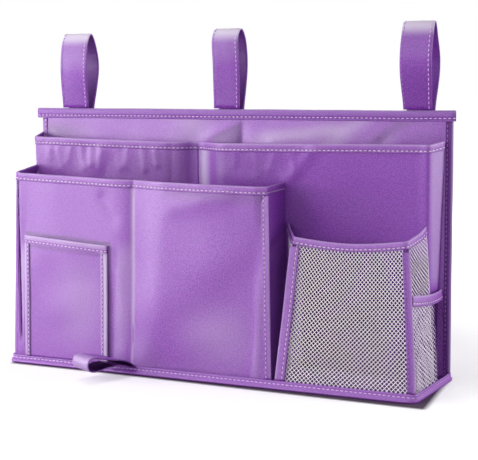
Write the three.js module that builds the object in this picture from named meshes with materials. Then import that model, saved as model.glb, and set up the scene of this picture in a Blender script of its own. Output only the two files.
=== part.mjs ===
// A hanging bedside caddy sewn from purple woven cloth: a stiffened back panel that hangs on three
// webbing loops, a flat base, two tall pockets behind, a divided front pocket with a phone pocket on
// it, a net pocket with bound corners and a small net pocket on its side.
// Millimetres, +Z up. The front faces -Y, and the origin is the middle of the base's underside.
import * as THREE from "three";

// Cloth, tape and board
const cloth_thickness = 1.2;
const tape_thickness = 0.8;
const board_thickness = 2.4;
const net_thickness = 1.0;
const strap_thickness = 1.8;
const fastener_thickness = 1.0;
const seam_gap = 0.3;
// How far a slanted end of a binding leans towards the cloth it meets, as a share of its half width
const slant_share = 0.6;

// Back panel and base
const panel_width = 560;
const panel_centre_x = 2;
const panel_height = 322;
const base_depth = 113;
const base_front_left = 266;
const base_front_right = 271;
const base_corner_radius = 6;
const base_binding_height = 10;
const base_foot_width = 2.6;
const base_floor_inset = 2.9;
const hem_height = 12.5;
const hem_left_overhang = 6.4;
const hem_right_overhang = 2.4;
const side_binding_width = 8;
const fold_seam_x = 16;
const fold_seam_width = 3;
const board_side_margin = 3;

// Tall pockets in front of the back panel
const middle_front_y = 26;
const middle_left_x = 274.5;
const middle_right_x = 260.5;
const middle_seam_x = 45;
const middle_left_height = 285.6;
const middle_left_rear_height = 291;
const middle_seam_height = 281;
const middle_right_height = 283.6;
const middle_right_rear_height = 287;
const middle_right_rear_low_x = 264;
const middle_right_rear_top_x = 273;
const middle_fold_radius = 3;
const middle_dip_flat = 7;
const middle_left_dip_width = 20;
const middle_right_dip_width = 30;
const middle_dip_radius = 12;
const middle_swell_radius = 30;
const middle_binding_width = 10;

// Front pocket
const front_left_top_x = 272;
const front_left_height = 242.6;
const front_left_rear_x = 272.4;
const front_left_rear_height = 248.5;
const front_right_height = 234.5;
const front_right_top_x = 78.5;
const front_right_low_x = 92.4;
const front_rear_top_x = 82;
const front_rear_low_x = 85;
const front_rear_height = 235.5;
const front_top_y = 26.3;
const front_binding_width = 10;
const front_edge_binding_width = 8;
const front_top_corner_radius = 8;
const edge_overhang = 3;

// Divider inside the front pocket, which draws the front in at its seam
const divider_top_x = 101;
const divider_low_x = 91;
const divider_rear_x = 86;
const divider_height = 231;
const divider_rear_height = 232;
const divider_binding_width = 9;
const divider_valley_depth = 5;
const divider_valley_width = 40;

// Phone pocket on the front pocket
const phone_left_top_x = 252;
const phone_right_top_x = 131;
const phone_left_low_x = 244;
const phone_right_low_x = 124;
const phone_left_height = 163;
const phone_right_height = 155;
const phone_mouth_depth = 9;
const phone_top_binding_width = 10;
const phone_left_binding_width = 7;
const phone_right_binding_width = 8;

// Net pocket
const mesh_left_top_x = 111.5;
const mesh_right_top_x = 248.5;
const mesh_left_low_x = 101.5;
const mesh_right_low_x = 266;
const mesh_top_y = 20;
const mesh_left_height = 176;
const mesh_right_height = 177;
const mesh_rear_left_top_x = 87;
const mesh_rear_right_top_x = 258.6;
const mesh_rear_left_low_x = 90;
const mesh_rear_right_low_x = 261;
const mesh_rear_left_height = 183;
const mesh_rear_right_height = 186;
const mesh_rim_sag = 5.5;
const mesh_top_binding_width = 9;
const mesh_edge_binding_width = 13;
const mesh_edge_binding_drop = 2.4;
const mesh_top_corner_radius = 4;

// Net pocket on the right side
const side_pocket_turn = THREE.MathUtils.degToRad(30);
const side_pocket_rear_top_x = 272.5;
const side_pocket_front_height = 117;
const side_pocket_rear_height = 111;
const side_pocket_binding_width = 9;
const side_pocket_bulge = 4;

// Net strands
const net_strand_width = 2.2;
const front_net_columns = 8;
const front_net_rows = 9;
const gusset_net_columns = 3;
const gusset_net_rows = 9;
const side_net_columns = 4;
const side_net_rows = 6;

// Webbing loops: each leaves the hem, bows forward, turns over the rail and comes down behind the
// back panel, where its tail closes on the fastener tape
const strap_width = 36;
const strap_tail_end_height = 250;
const strap_tail_start_height = 290;
const fastener_width = 34;
const fastener_height = 38;
const rear_leg_root_reach = 14;
const left_strap_x = 226;
const left_strap_rise = 95.5;
const left_strap_reach = 9;
const left_front_bow = 3.5;
const left_rear_bow = 24;
const left_shoulder = 9;
const middle_strap_x = 6.5;
const middle_strap_rise = 98;
const middle_strap_reach = 7;
const middle_front_bow = 1;
const middle_rear_bow = 24;
const middle_shoulder = 11;
const right_strap_x = 241;
const right_strap_rise = 101.5;
const right_strap_reach = 6;
const right_front_bow = 11;
const right_rear_bow = 28;
const right_shoulder = 9;
const strap_bow_share = 0.52;
const strap_shoulder_share = 0.88;
const strap_rear_shoulder_share = 0.85;
const strap_drop_share = 0.4;
const strap_lean_share = 0.12;

// Ribbon tab sewn in the front seam of the base
const tab_thickness = 1.6;
const tab_width = 34;
const tab_root_x = 103;
const tab_root_height = 8;
const tab_length = 66;
const tab_top_height = 24;
const tab_shoulder_height = 20;
const tab_shoulder_reach = 18;
const tab_tip_height = 14;
const tab_low_height = 3.2;
const tab_low_reach = 52;
const tab_root_solid = 9;
const tab_yaw = THREE.MathUtils.degToRad(27);
const tab_twist_reach = 24;

// Steps along curved edges
const bend_steps = 4;
const straight_steps = 3;
const front_steps = 14;
const wall_rows = 5;
const patch_columns = 8;
const patch_rows = 5;
const strap_steps = 26;
const strap_drop_steps = 6;
const tab_steps = 30;
const side_pocket_steps = 8;
const bead_steps = 3;

// Places that follow from the sizes above
const bound_edge = tape_thickness + seam_gap;
const front_y = -base_depth / 2;
const rear_y = base_depth / 2;
const wall_inset = tape_thickness + seam_gap + cloth_thickness / 2;
const net_inset = tape_thickness + seam_gap + net_thickness / 2;
const wall_bottom = tape_thickness + seam_gap;
const wall_rim = base_binding_height + seam_gap;
const base_board_bottom = cloth_thickness + seam_gap;
const base_lining_bottom = base_board_bottom + board_thickness + seam_gap;
const inner_floor = base_lining_bottom + cloth_thickness + seam_gap;
const cover_y = rear_y - wall_inset;
const board_y = cover_y - cloth_thickness / 2 - seam_gap - board_thickness / 2;
const lining_y = board_y - board_thickness / 2 - seam_gap - cloth_thickness / 2;
const stack_thickness = 2 * cloth_thickness + board_thickness + 2 * seam_gap;
const stack_y = cover_y + cloth_thickness / 2 - stack_thickness / 2;
const binding_half = cloth_thickness / 2 + seam_gap + tape_thickness;
const net_binding_half = net_thickness / 2 + seam_gap + tape_thickness;
const side_leaf_y = stack_y - stack_thickness / 2 - seam_gap - tape_thickness;
const gusset_rear_y = side_leaf_y - seam_gap - binding_half * slant_share;
const middle_dip_y = lining_y - cloth_thickness / 2 - seam_gap - binding_half;
const pocket_rear_y = middle_front_y - cloth_thickness / 2 - seam_gap - binding_half * slant_share;
const front_low_y = front_y + wall_inset;
const front_lean = (-front_top_y - front_low_y) / (front_right_height - wall_rim);
const net_low_y = front_y + net_inset;
const corner_bend = binding_half + seam_gap;
const net_corner_bend = net_binding_half + seam_gap;

// Colours of the cloth by how the pieces catch the light in use
const purple_cloth = 0x9c6bbc;
const purple_tape = 0xa174c0;
const purple_net = 0xd9c6e4;
const dark_cloth = 0x7b4a9c;
const grey_board = 0x8d8a86;
const fastener_purple = 0x6b3f8c;

function material(color, roughness) {
  return new THREE.MeshStandardMaterial({ color, roughness, metalness: 0 });
}

const caddy = new THREE.Group();

function add(name, geometry, color, roughness) {
  const mesh = new THREE.Mesh(geometry, material(color, roughness));
  mesh.name = name;
  caddy.add(mesh);
}

const cloth_roughness = 0.85;
const tape_roughness = 0.8;
const board_roughness = 0.7;

function point(x, y, z) {
  return new THREE.Vector3(x, y, z);
}

// A closed body from points and triangles, turned round if its faces point inwards.
function body(points, triangles) {
  let six_volumes = 0;
  for (const [a, b, c] of triangles) {
    six_volumes += points[a].dot(points[b].clone().cross(points[c]));
  }
  const outward = six_volumes > 0 ? triangles : triangles.map(([a, b, c]) => [a, c, b]);
  const geometry = new THREE.BufferGeometry().setFromPoints(points);
  geometry.setIndex(outward.flat());
  geometry.computeVertexNormals();
  return geometry;
}

// A thin closed body between two like grids of points, given as rows of points.
function skin(front, back) {
  const rows = front.length;
  const columns = front[0].length;
  const points = [...front.flat(), ...back.flat()];
  const at_front = (j, i) => j * columns + i;
  const at_back = (j, i) => rows * columns + j * columns + i;
  const triangles = [];
  const quad = (a, b, c, d) => triangles.push([a, b, c], [a, c, d]);
  for (let j = 0; j < rows - 1; j++) {
    for (let i = 0; i < columns - 1; i++) {
      quad(at_front(j, i), at_front(j, i + 1), at_front(j + 1, i + 1), at_front(j + 1, i));
      quad(at_back(j, i), at_back(j + 1, i), at_back(j + 1, i + 1), at_back(j, i + 1));
    }
  }
  for (let j = 0; j < rows - 1; j++) {
    const last = columns - 1;
    quad(at_front(j, 0), at_front(j + 1, 0), at_back(j + 1, 0), at_back(j, 0));
    quad(at_front(j + 1, last), at_front(j, last), at_back(j, last), at_back(j + 1, last));
  }
  for (let i = 0; i < columns - 1; i++) {
    const last = rows - 1;
    quad(at_front(0, i + 1), at_front(0, i), at_back(0, i), at_back(0, i + 1));
    quad(at_front(last, i), at_front(last, i + 1), at_back(last, i + 1), at_back(last, i));
  }
  return body(points, triangles);
}

// The unit normal of a grid at each of its points. It points forwards where the rows run to +X.
function normals(grid) {
  const last_row = grid.length - 1;
  const last_column = grid[0].length - 1;
  return grid.map((row, j) =>
    row.map((here, i) => {
      const across = row[Math.min(i + 1, last_column)].clone().sub(row[Math.max(i - 1, 0)]);
      const up = grid[Math.min(j + 1, last_row)][i].clone().sub(grid[Math.max(j - 1, 0)][i]);
      return across.cross(up).normalize();
    }),
  );
}

// A sheet of cloth: a grid thickened by half its thickness to each side.
function sheet(grid, thickness) {
  const out = normals(grid);
  const offset = (side) =>
    grid.map((row, j) =>
      row.map((here, i) => {
        const half = (Array.isArray(thickness) ? thickness[j] : thickness) / 2;
        return here.clone().addScaledVector(out[j][i], side * half);
      }),
    );
  return skin(offset(1), offset(-1));
}

// The points round one corner of a line, rounded in plan by a radius.
function bend(before, corner, after, radius, steps) {
  const flat = (v) => new THREE.Vector2(v.x, v.y);
  const incoming = flat(corner).sub(flat(before));
  const outgoing = flat(after).sub(flat(corner));
  const turn = incoming.x * outgoing.y - incoming.y * outgoing.x;
  const angle = Math.acos(incoming.dot(outgoing) / incoming.length() / outgoing.length());
  const tangent = radius * Math.tan(angle / 2);
  const start = corner.clone().lerp(before, tangent / incoming.length());
  const end = corner.clone().lerp(after, tangent / outgoing.length());
  const side = new THREE.Vector2(-incoming.y, incoming.x).setLength(radius);
  side.multiplyScalar(Math.sign(turn));
  const points = [];
  for (let k = 0; k <= steps; k++) {
    const share = k / steps;
    const swept = Math.sign(turn) * angle * share;
    const arm = side.clone().negate().rotateAround(new THREE.Vector2(), swept);
    const z = THREE.MathUtils.lerp(start.z, end.z, share);
    points.push(point(start.x + side.x + arm.x, start.y + side.y + arm.y, z));
  }
  return points;
}

// A line of points through corners, with each inner corner rounded and each straight cut in steps.
function roundedLine(corners, straights) {
  const last = corners.length - 1;
  const knots = corners.map((corner, k) =>
    k > 0 && k < last
      ? bend(corners[k - 1].at, corner.at, corners[k + 1].at, corner.radius, bend_steps)
      : [corner.at],
  );
  const line = [...knots[0]];
  for (let k = 1; k <= last; k++) {
    const from = line[line.length - 1];
    const to = knots[k][0];
    for (let step = 1; step < straights[k - 1]; step++) {
      line.push(from.clone().lerp(to, step / straights[k - 1]));
    }
    line.push(...knots[k]);
  }
  return line;
}

// The points of a line set at even distances along it.
function evenLine(corners, steps) {
  const path = new THREE.CurvePath();
  for (let k = 1; k < corners.length; k++) path.add(new THREE.LineCurve3(corners[k - 1], corners[k]));
  const line = [];
  for (let k = 0; k <= steps; k++) line.push(path.getPointAt(k / steps));
  return line;
}

// A grid from a lower line to an upper line of as many points.
function rise(lower, upper, rows) {
  const grid = [];
  for (let j = 0; j <= rows; j++) {
    grid.push(lower.map((low, i) => low.clone().lerp(upper[i], j / rows)));
  }
  return grid;
}

// The same, standing upright behind the base binding before it leans to the upper line.
function riseFromBinding(lower, upper, rows) {
  const rim = lower.map((low) => point(low.x, low.y, wall_rim));
  return [lower, ...rise(rim, upper, rows)];
}

function columnsOf(grid, first, last) {
  return grid.map((row) => row.slice(first, last + 1));
}

// Moves a point by a length towards another.
function pull(from, to, length) {
  from.addScaledVector(to.clone().sub(from).normalize(), length);
}

// A grid with its edges drawn in by lengths along the rows and down the columns.
function drawIn(grid, { start = 0, end = 0, top = 0, bottom = 0 }) {
  const drawn = grid.map((row) => row.map((here) => here.clone()));
  const last_row = drawn.length - 1;
  const last_column = drawn[0].length - 1;
  for (const row of drawn) {
    pull(row[0], row[1], start);
    pull(row[last_column], row[last_column - 1], end);
  }
  for (let i = 0; i <= last_column; i++) {
    pull(drawn[last_row][i], drawn[last_row - 1][i], top);
    pull(drawn[0][i], drawn[1][i], bottom);
  }
  return drawn;
}

// Folded tape over an edge: each station has the place of the fold, the normal of the cloth and the
// direction into the cloth. The tape holds cloth of the given thickness between its two leaves.
function foldedTape(stations, held_thickness, width) {
  const inside = held_thickness / 2 + seam_gap;
  const outside = inside + tape_thickness;
  const place = ({ at, normal, inward }, aside, depth) =>
    at.clone().addScaledVector(normal, aside).addScaledVector(inward, depth);
  const outer = [];
  const inner = [];
  for (const [side, deep] of [[1, true], [1, false], [-1, false], [-1, true]]) {
    outer.push(stations.map((station) => place(station, side * outside, deep ? width : 0)));
    inner.push(stations.map((station) => place(station, side * inside, deep ? width : tape_thickness)));
  }
  return skin(outer, inner);
}

// The stations along the top edge of a grid, from its first to its last column.
function topStations(grid) {
  const out = normals(grid);
  const top = grid.length - 1;
  return grid[top].map((at, i) => ({
    at,
    normal: out[top][i],
    inward: grid[top - 1][i].clone().sub(at).normalize(),
  }));
}

// The stations up one side edge of a grid, ending a drop below its top.
function sideStations(grid, on_left, drop) {
  const out = normals(grid);
  const column = on_left ? 0 : grid[0].length - 1;
  const next = on_left ? 1 : column - 1;
  const stations = grid.map((row, j) => ({
    at: row[column].clone(),
    normal: out[j][column],
    inward: row[next].clone().sub(row[column]).normalize(),
  }));
  const last = stations.length - 1;
  pull(stations[last].at, stations[last - 1].at, drop);
  return stations;
}

// A point and a normal on a grid at shares of its columns and rows.
function onGrid(grid, out, u, v) {
  const column = Math.min(Math.floor(u * (grid[0].length - 1)), grid[0].length - 2);
  const row = Math.min(Math.floor(v * (grid.length - 1)), grid.length - 2);
  const across = u * (grid[0].length - 1) - column;
  const up = v * (grid.length - 1) - row;
  const mix = (field) =>
    field[row][column]
      .clone()
      .lerp(field[row][column + 1], across)
      .lerp(field[row + 1][column].clone().lerp(field[row + 1][column + 1], across), up);
  return { at: mix(grid), normal: mix(out).normalize() };
}

// A net: diamond gaps between crossing strands, with half diamonds filled along the edges. A foot
// line carries it on below as a closed strip.
function netSheet(grid, columns, rows, thickness, foot) {
  const out = normals(grid);
  const top = grid.length - 1;
  const width = grid[top][0].distanceTo(grid[top][grid[0].length - 1]);
  const height = grid[0][0].distanceTo(grid[top][0]);
  const half_width = width / columns / 2;
  const half_height = height / rows / 2;
  const reach = (half_width * half_height) / Math.hypot(half_width, half_height);
  const gap_share = 1 - net_strand_width / 2 / reach;
  const points = [];
  const triangles = [];
  const known = new Map();
  const corner = (i, j) => {
    const key = i + "," + j;
    if (!known.has(key)) {
      const { at, normal } = onGrid(grid, out, i / columns / 2, j / rows / 2);
      known.set(key, points.length);
      points.push(at.clone().addScaledVector(normal, thickness / 2));
      points.push(at.clone().addScaledVector(normal, -thickness / 2));
    }
    return known.get(key);
  };
  const foot_start = new Map();
  const footCorner = (i) => {
    if (!foot_start.has(i)) {
      const along = (i / columns / 2) * (foot.length - 1);
      const k = Math.min(Math.floor(along), foot.length - 2);
      const at = foot[k].clone().lerp(foot[k + 1], along - k);
      const level = onGrid(grid, out, i / columns / 2, 0).normal.setZ(0).normalize();
      foot_start.set(i, points.length);
      points.push(at.clone().addScaledVector(level, thickness / 2));
      points.push(at.clone().addScaledVector(level, -thickness / 2));
    }
    return foot_start.get(i);
  };
  const quad = (a, b, c, d) => triangles.push([a, b, c], [a, c, d]);
  const last_i = 2 * columns;
  const last_j = 2 * rows;
  for (let i = 0; i <= last_i; i++) {
    for (let j = 0; j <= last_j; j++) {
      if ((i + j) % 2 === 0) continue;
      const around = [
        [i + 1, j],
        [i, j + 1],
        [i - 1, j],
        [i, j - 1],
      ];
      const inside = around.map(([a, b]) => a >= 0 && a <= last_i && b >= 0 && b <= last_j);
      if (inside.every(Boolean)) {
        for (let k = 0; k < 4; k++) {
          const [a, b] = around[k];
          const [c, d] = around[(k + 1) % 4];
          const outer_a = corner(a, b);
          const outer_b = corner(c, d);
          const gap_a = corner(i + (a - i) * gap_share, j + (b - j) * gap_share);
          const gap_b = corner(i + (c - i) * gap_share, j + (d - j) * gap_share);
          quad(outer_a, outer_b, gap_b, gap_a);
          quad(outer_a + 1, gap_a + 1, gap_b + 1, outer_b + 1);
          quad(gap_a, gap_b, gap_b + 1, gap_a + 1);
        }
      } else {
        const missing = inside.indexOf(false);
        const order = [1, 2, 3].map((k) => (missing + k) % 4).map((k) => corner(...around[k]));
        triangles.push([order[0], order[1], order[2]]);
        triangles.push([order[0] + 1, order[2] + 1, order[1] + 1]);
        if (foot && j === 0) {
          const [right, , left] = order;
          const low_left = footCorner(i - 1);
          const low_right = footCorner(i + 1);
          quad(left, low_left, low_right, right);
          quad(left + 1, right + 1, low_right + 1, low_left + 1);
          quad(low_right, low_left, low_left + 1, low_right + 1);
          if (i === 1) quad(low_left, left, left + 1, low_left + 1);
          if (i === last_i - 1) quad(right, low_right, low_right + 1, right + 1);
        } else {
          quad(order[0], order[2], order[2] + 1, order[0] + 1);
        }
      }
    }
  }
  return body(points, triangles);
}

// The four corners of the base in plan, drawn in from its outline: front left, front right, rear
// right, rear left.
function baseCorners(inset) {
  const outline = [
    new THREE.Vector2(-base_front_left, front_y),
    new THREE.Vector2(base_front_right, front_y),
    new THREE.Vector2(panel_centre_x + panel_width / 2, rear_y),
    new THREE.Vector2(panel_centre_x - panel_width / 2, rear_y),
  ];
  return outline.map((corner, k) => {
    const before = outline[(k + 3) % 4];
    const after = outline[(k + 1) % 4];
    const inwards = (from, to) => {
      const along = to.clone().sub(from).normalize();
      return new THREE.Vector2(-along.y, along.x);
    };
    const n = inwards(before, corner);
    const m = inwards(corner, after);
    const mitre = n.clone().add(m);
    return corner.clone().addScaledVector(mitre, inset / (1 + n.dot(m)));
  });
}

// The base's outline drawn in by an inset, as a closed loop of points at one height.
function baseLoop(inset, z) {
  const corners = baseCorners(inset).map((corner) => point(corner.x, corner.y, z));
  const [front_left, front_right, rear_right, rear_left] = corners;
  const radius = base_corner_radius - inset;
  return [
    ...bend(rear_left, front_left, front_right, radius, bend_steps),
    ...bend(front_left, front_right, rear_right, radius, bend_steps),
    rear_right,
    rear_left,
  ];
}

// Where the left or right side of the base lies at a depth, drawn in by an inset.
function sideX(on_left, y, inset) {
  const corners = baseCorners(inset);
  const front = on_left ? corners[0] : corners[1];
  const rear = on_left ? corners[3] : corners[2];
  return THREE.MathUtils.mapLinear(y, front.y, rear.y, front.x, rear.x);
}

// A flat plate of the base's outline.
function basePlate(inset, bottom, thickness) {
  const shape = new THREE.Shape(baseLoop(inset, 0).map((p) => new THREE.Vector2(p.x, p.y)));
  const geometry = new THREE.ExtrudeGeometry(shape, { depth: thickness, bevelEnabled: false });
  return geometry.translate(0, 0, bottom);
}

// The tape round the base: an upright leaf with a foot turned in below the walls.
function baseBinding() {
  const loops = [
    baseLoop(0, 0),
    baseLoop(0, base_binding_height),
    baseLoop(tape_thickness, base_binding_height),
    baseLoop(tape_thickness, tape_thickness),
    baseLoop(base_foot_width, tape_thickness),
    baseLoop(base_foot_width, 0),
  ];
  const count = loops[0].length;
  const triangles = [];
  loops.forEach((_, k) => {
    const next = (k + 1) % loops.length;
    for (let i = 0; i < count; i++) {
      const a = k * count + i;
      const b = k * count + ((i + 1) % count);
      const c = next * count + ((i + 1) % count);
      const d = next * count + i;
      triangles.push([a, b, c], [a, c, d]);
    }
  });
  return body(loops.flat(), triangles);
}

function box(width, depth, height, x, y, bottom) {
  const geometry = new THREE.BoxGeometry(width, depth, height);
  return geometry.translate(x, y, bottom + height / 2);
}

// Back panel: cover, two boards and lining, with tape over the sides and a hem over the top
function buildBackPanel() {
  const half = panel_width / 2;
  const inner_left = sideX(true, lining_y - cloth_thickness / 2, bound_edge);
  const inner_right = sideX(false, lining_y - cloth_thickness / 2, bound_edge);
  const inner_width = inner_right - inner_left;
  const inner_x = (inner_left + inner_right) / 2;
  const top = panel_height - bound_edge;
  add(
    "back_cover",
    box(inner_width, cloth_thickness, top - wall_bottom, inner_x, cover_y, wall_bottom),
    purple_cloth,
    cloth_roughness,
  );
  const board_height = panel_height - hem_height - seam_gap - inner_floor;
  const board_edge = half - bound_edge - board_side_margin;
  const left_end = fold_seam_x - fold_seam_width / 2;
  const right_start = fold_seam_x + fold_seam_width / 2;
  const left_width = board_edge + left_end - panel_centre_x;
  const right_width = board_edge - right_start + panel_centre_x;
  add(
    "back_board_left",
    box(left_width, board_thickness, board_height, left_end - left_width / 2, board_y, inner_floor),
    grey_board,
    board_roughness,
  );
  add(
    "back_board_right",
    box(right_width, board_thickness, board_height, right_start + right_width / 2, board_y, inner_floor),
    grey_board,
    board_roughness,
  );
  add(
    "back_lining",
    box(inner_width, cloth_thickness, top - inner_floor, inner_x, lining_y, inner_floor),
    purple_cloth,
    cloth_roughness,
  );
  const forwards = point(0, -1, 0);
  const hem_left = panel_centre_x - half - hem_left_overhang;
  const hem_right = panel_centre_x + half + hem_right_overhang;
  const hem = [hem_left, hem_right].map((x) => ({
    at: point(x, stack_y, panel_height),
    normal: forwards,
    inward: point(0, 0, -1),
  }));
  add("top_hem", foldedTape(hem, stack_thickness, hem_height), purple_tape, tape_roughness);
  for (const [name, side] of [["left", -1], ["right", 1]]) {
    const stations = [wall_rim, panel_height - hem_height - seam_gap].map((z) => ({
      at: point(panel_centre_x + side * half, stack_y, z),
      normal: forwards,
      inward: point(-side, 0, 0),
    }));
    add(
      name + "_side_binding",
      foldedTape(stations, stack_thickness, side_binding_width),
      dark_cloth,
      tape_roughness,
    );
  }
}

// Base: outer cloth, board and lining, inside the tape that the walls stand in
function buildBase() {
  const inset = base_floor_inset;
  add("base_binding", baseBinding(), purple_tape, tape_roughness);
  add("base_panel", basePlate(inset, 0, cloth_thickness), purple_cloth, cloth_roughness);
  add("base_board", basePlate(inset, base_board_bottom, board_thickness), grey_board, board_roughness);
  add("base_lining", basePlate(inset, base_lining_bottom, cloth_thickness), purple_cloth, cloth_roughness);
}

// Tall pockets: each is one cloth that folds back to the side binding at its outer end and dips
// back to the seam on the lining at its inner end
function buildMiddlePockets() {
  const seam = -middle_seam_x;
  const left_line = (top) => {
    const z = (height) => (top ? height : inner_floor);
    const fold_x = top ? -middle_left_x : sideX(true, middle_front_y, wall_inset);
    const rear_x = sideX(true, gusset_rear_y, wall_inset);
    const seam_z = z(middle_seam_height);
    const dip_x = seam - middle_dip_flat;
    const swell_x = dip_x - middle_left_dip_width;
    return roundedLine(
      [
        { at: point(rear_x, gusset_rear_y, z(middle_left_rear_height)) },
        { at: point(fold_x, middle_front_y, z(middle_left_height)), radius: middle_fold_radius },
        { at: point(swell_x, middle_front_y, seam_z), radius: middle_swell_radius },
        { at: point(dip_x, middle_dip_y, seam_z), radius: middle_dip_radius },
        { at: point(seam - seam_gap / 2, middle_dip_y, seam_z) },
      ],
      [1, straight_steps, 1, 1],
    );
  };
  const right_line = (top) => {
    const z = (height) => (top ? height : inner_floor);
    const rear_x = top ? middle_right_rear_top_x : middle_right_rear_low_x;
    const fold = point(middle_right_x, middle_front_y, z(middle_right_height));
    const seam_z = z(middle_seam_height);
    const dip_x = seam + middle_dip_flat;
    const swell_x = dip_x + middle_right_dip_width;
    return roundedLine(
      [
        { at: point(seam + seam_gap / 2, middle_dip_y, seam_z) },
        { at: point(dip_x, middle_dip_y, seam_z), radius: middle_dip_radius },
        { at: point(swell_x, middle_front_y, seam_z), radius: middle_swell_radius },
        { at: fold, radius: middle_fold_radius },
        { at: point(rear_x, gusset_rear_y, z(middle_right_rear_height)) },
      ],
      [1, 1, straight_steps, 1],
    );
  };
  for (const [side, line] of [["left", left_line], ["right", right_line]]) {
    const grid = rise(line(false), line(true), wall_rows);
    add(
      "middle_" + side + "_pocket",
      sheet(drawIn(grid, { top: bound_edge }), cloth_thickness),
      purple_cloth,
      cloth_roughness,
    );
    add(
      "middle_" + side + "_top_binding",
      foldedTape(topStations(grid), cloth_thickness, middle_binding_width),
      purple_tape,
      tape_roughness,
    );
  }
}

// How far back the front pocket's face lies at a place, with the valley at the divider's seam.
function frontFaceY(x, z) {
  const lean = Math.max(z - wall_rim, 0) * front_lean;
  const height_share = Math.max(z - wall_rim, 0) / (front_right_height - wall_rim);
  const seam_x = THREE.MathUtils.lerp(-divider_low_x, -divider_top_x, height_share);
  const away = Math.min(Math.abs(x - seam_x) / divider_valley_width, 1);
  const valley = divider_valley_depth * Math.sqrt(height_share) * Math.cos((away * Math.PI) / 2) ** 2;
  return front_low_y + lean + valley;
}

const front_normal = point(0, -1, front_lean).normalize();

// Front pocket: left gusset, face and right gusset along one line in plan, bound round the top
function buildFrontPocket() {
  const [front_left] = baseCorners(wall_inset);
  const lower = roundedLine(
    [
      { at: point(sideX(true, pocket_rear_y, wall_inset), pocket_rear_y, wall_bottom) },
      { at: point(front_left.x, front_left.y, wall_bottom), radius: base_corner_radius - wall_inset },
      { at: point(front_right_low_x, front_low_y, wall_bottom), radius: corner_bend },
      { at: point(front_rear_low_x, pocket_rear_y, wall_bottom) },
    ],
    [straight_steps, front_steps, straight_steps],
  );
  const left_top_y = front_low_y + (front_left_height - wall_rim) * front_lean;
  const upper = roundedLine(
    [
      { at: point(-front_left_rear_x, pocket_rear_y, front_left_rear_height) },
      { at: point(-front_left_top_x, left_top_y, front_left_height), radius: front_top_corner_radius },
      { at: point(front_right_top_x, -front_top_y, front_right_height), radius: corner_bend },
      { at: point(front_rear_top_x, pocket_rear_y, front_rear_height) },
    ],
    [straight_steps, front_steps, straight_steps],
  );
  const whole = riseFromBinding(lower, upper, wall_rows);
  const left_end = straight_steps + bend_steps;
  const front_end = left_end + front_steps;
  const right_start = front_end + bend_steps;
  const right_end = right_start + straight_steps;
  for (const row of whole) {
    for (let i = left_end + 1; i < front_end; i++) row[i].y = frontFaceY(row[i].x, row[i].z);
  }
  add(
    "front_left_gusset",
    sheet(drawIn(columnsOf(whole, 0, left_end), { top: bound_edge, end: seam_gap }), cloth_thickness),
    dark_cloth,
    cloth_roughness,
  );
  add(
    "front_pocket_panel",
    sheet(drawIn(columnsOf(whole, left_end, front_end), { top: bound_edge }), cloth_thickness),
    purple_cloth,
    cloth_roughness,
  );
  const right_lower = lower.slice(right_start, right_end + 1).map((p) => point(p.x, p.y, inner_floor));
  const right_upper = upper.slice(right_start, right_end + 1);
  const right = drawIn(rise(right_lower, right_upper, wall_rows), { top: bound_edge, start: 2 * seam_gap });
  add("front_right_gusset", sheet(right, cloth_thickness), dark_cloth, cloth_roughness);
  add(
    "front_top_binding",
    foldedTape(topStations(whole), cloth_thickness, front_binding_width),
    purple_tape,
    tape_roughness,
  );
  const edge_top = front_right_height - front_binding_width - seam_gap;
  const edge = [wall_rim, edge_top].map((z) => {
    const height_share = (z - wall_rim) / (front_right_height - wall_rim);
    const x = THREE.MathUtils.lerp(front_right_low_x, front_right_top_x, height_share) + edge_overhang;
    return {
      at: point(x, front_low_y + (z - wall_rim) * front_lean, z),
      normal: front_normal,
      inward: point(-1, 0, 0),
    };
  });
  add(
    "front_edge_binding",
    foldedTape(edge, cloth_thickness, front_edge_binding_width),
    purple_tape,
    tape_roughness,
  );
}

// Divider: a cloth from the seam in the front to the tall pocket behind, bound along its top
function buildDivider() {
  const rows = [];
  for (let j = 0; j <= wall_rows; j++) {
    const share = j / wall_rows;
    const z = THREE.MathUtils.lerp(inner_floor, divider_height, share);
    const rear_z = THREE.MathUtils.lerp(inner_floor, divider_rear_height, share);
    const height_share = Math.max(z - wall_rim, 0) / (front_right_height - wall_rim);
    const x = THREE.MathUtils.lerp(-divider_low_x, -divider_top_x, height_share);
    const front = point(x, frontFaceY(x, z) + corner_bend, z);
    const rear = point(-divider_rear_x, pocket_rear_y, rear_z);
    const row = [];
    for (let i = 0; i <= straight_steps; i++) row.push(front.clone().lerp(rear, i / straight_steps));
    rows.push(row);
  }
  const divider = drawIn(rows, { top: bound_edge });
  add("pocket_divider", sheet(divider, cloth_thickness), dark_cloth, cloth_roughness);
  add(
    "divider_binding",
    foldedTape(topStations(rows), cloth_thickness, divider_binding_width),
    purple_tape,
    tape_roughness,
  );
}

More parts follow.
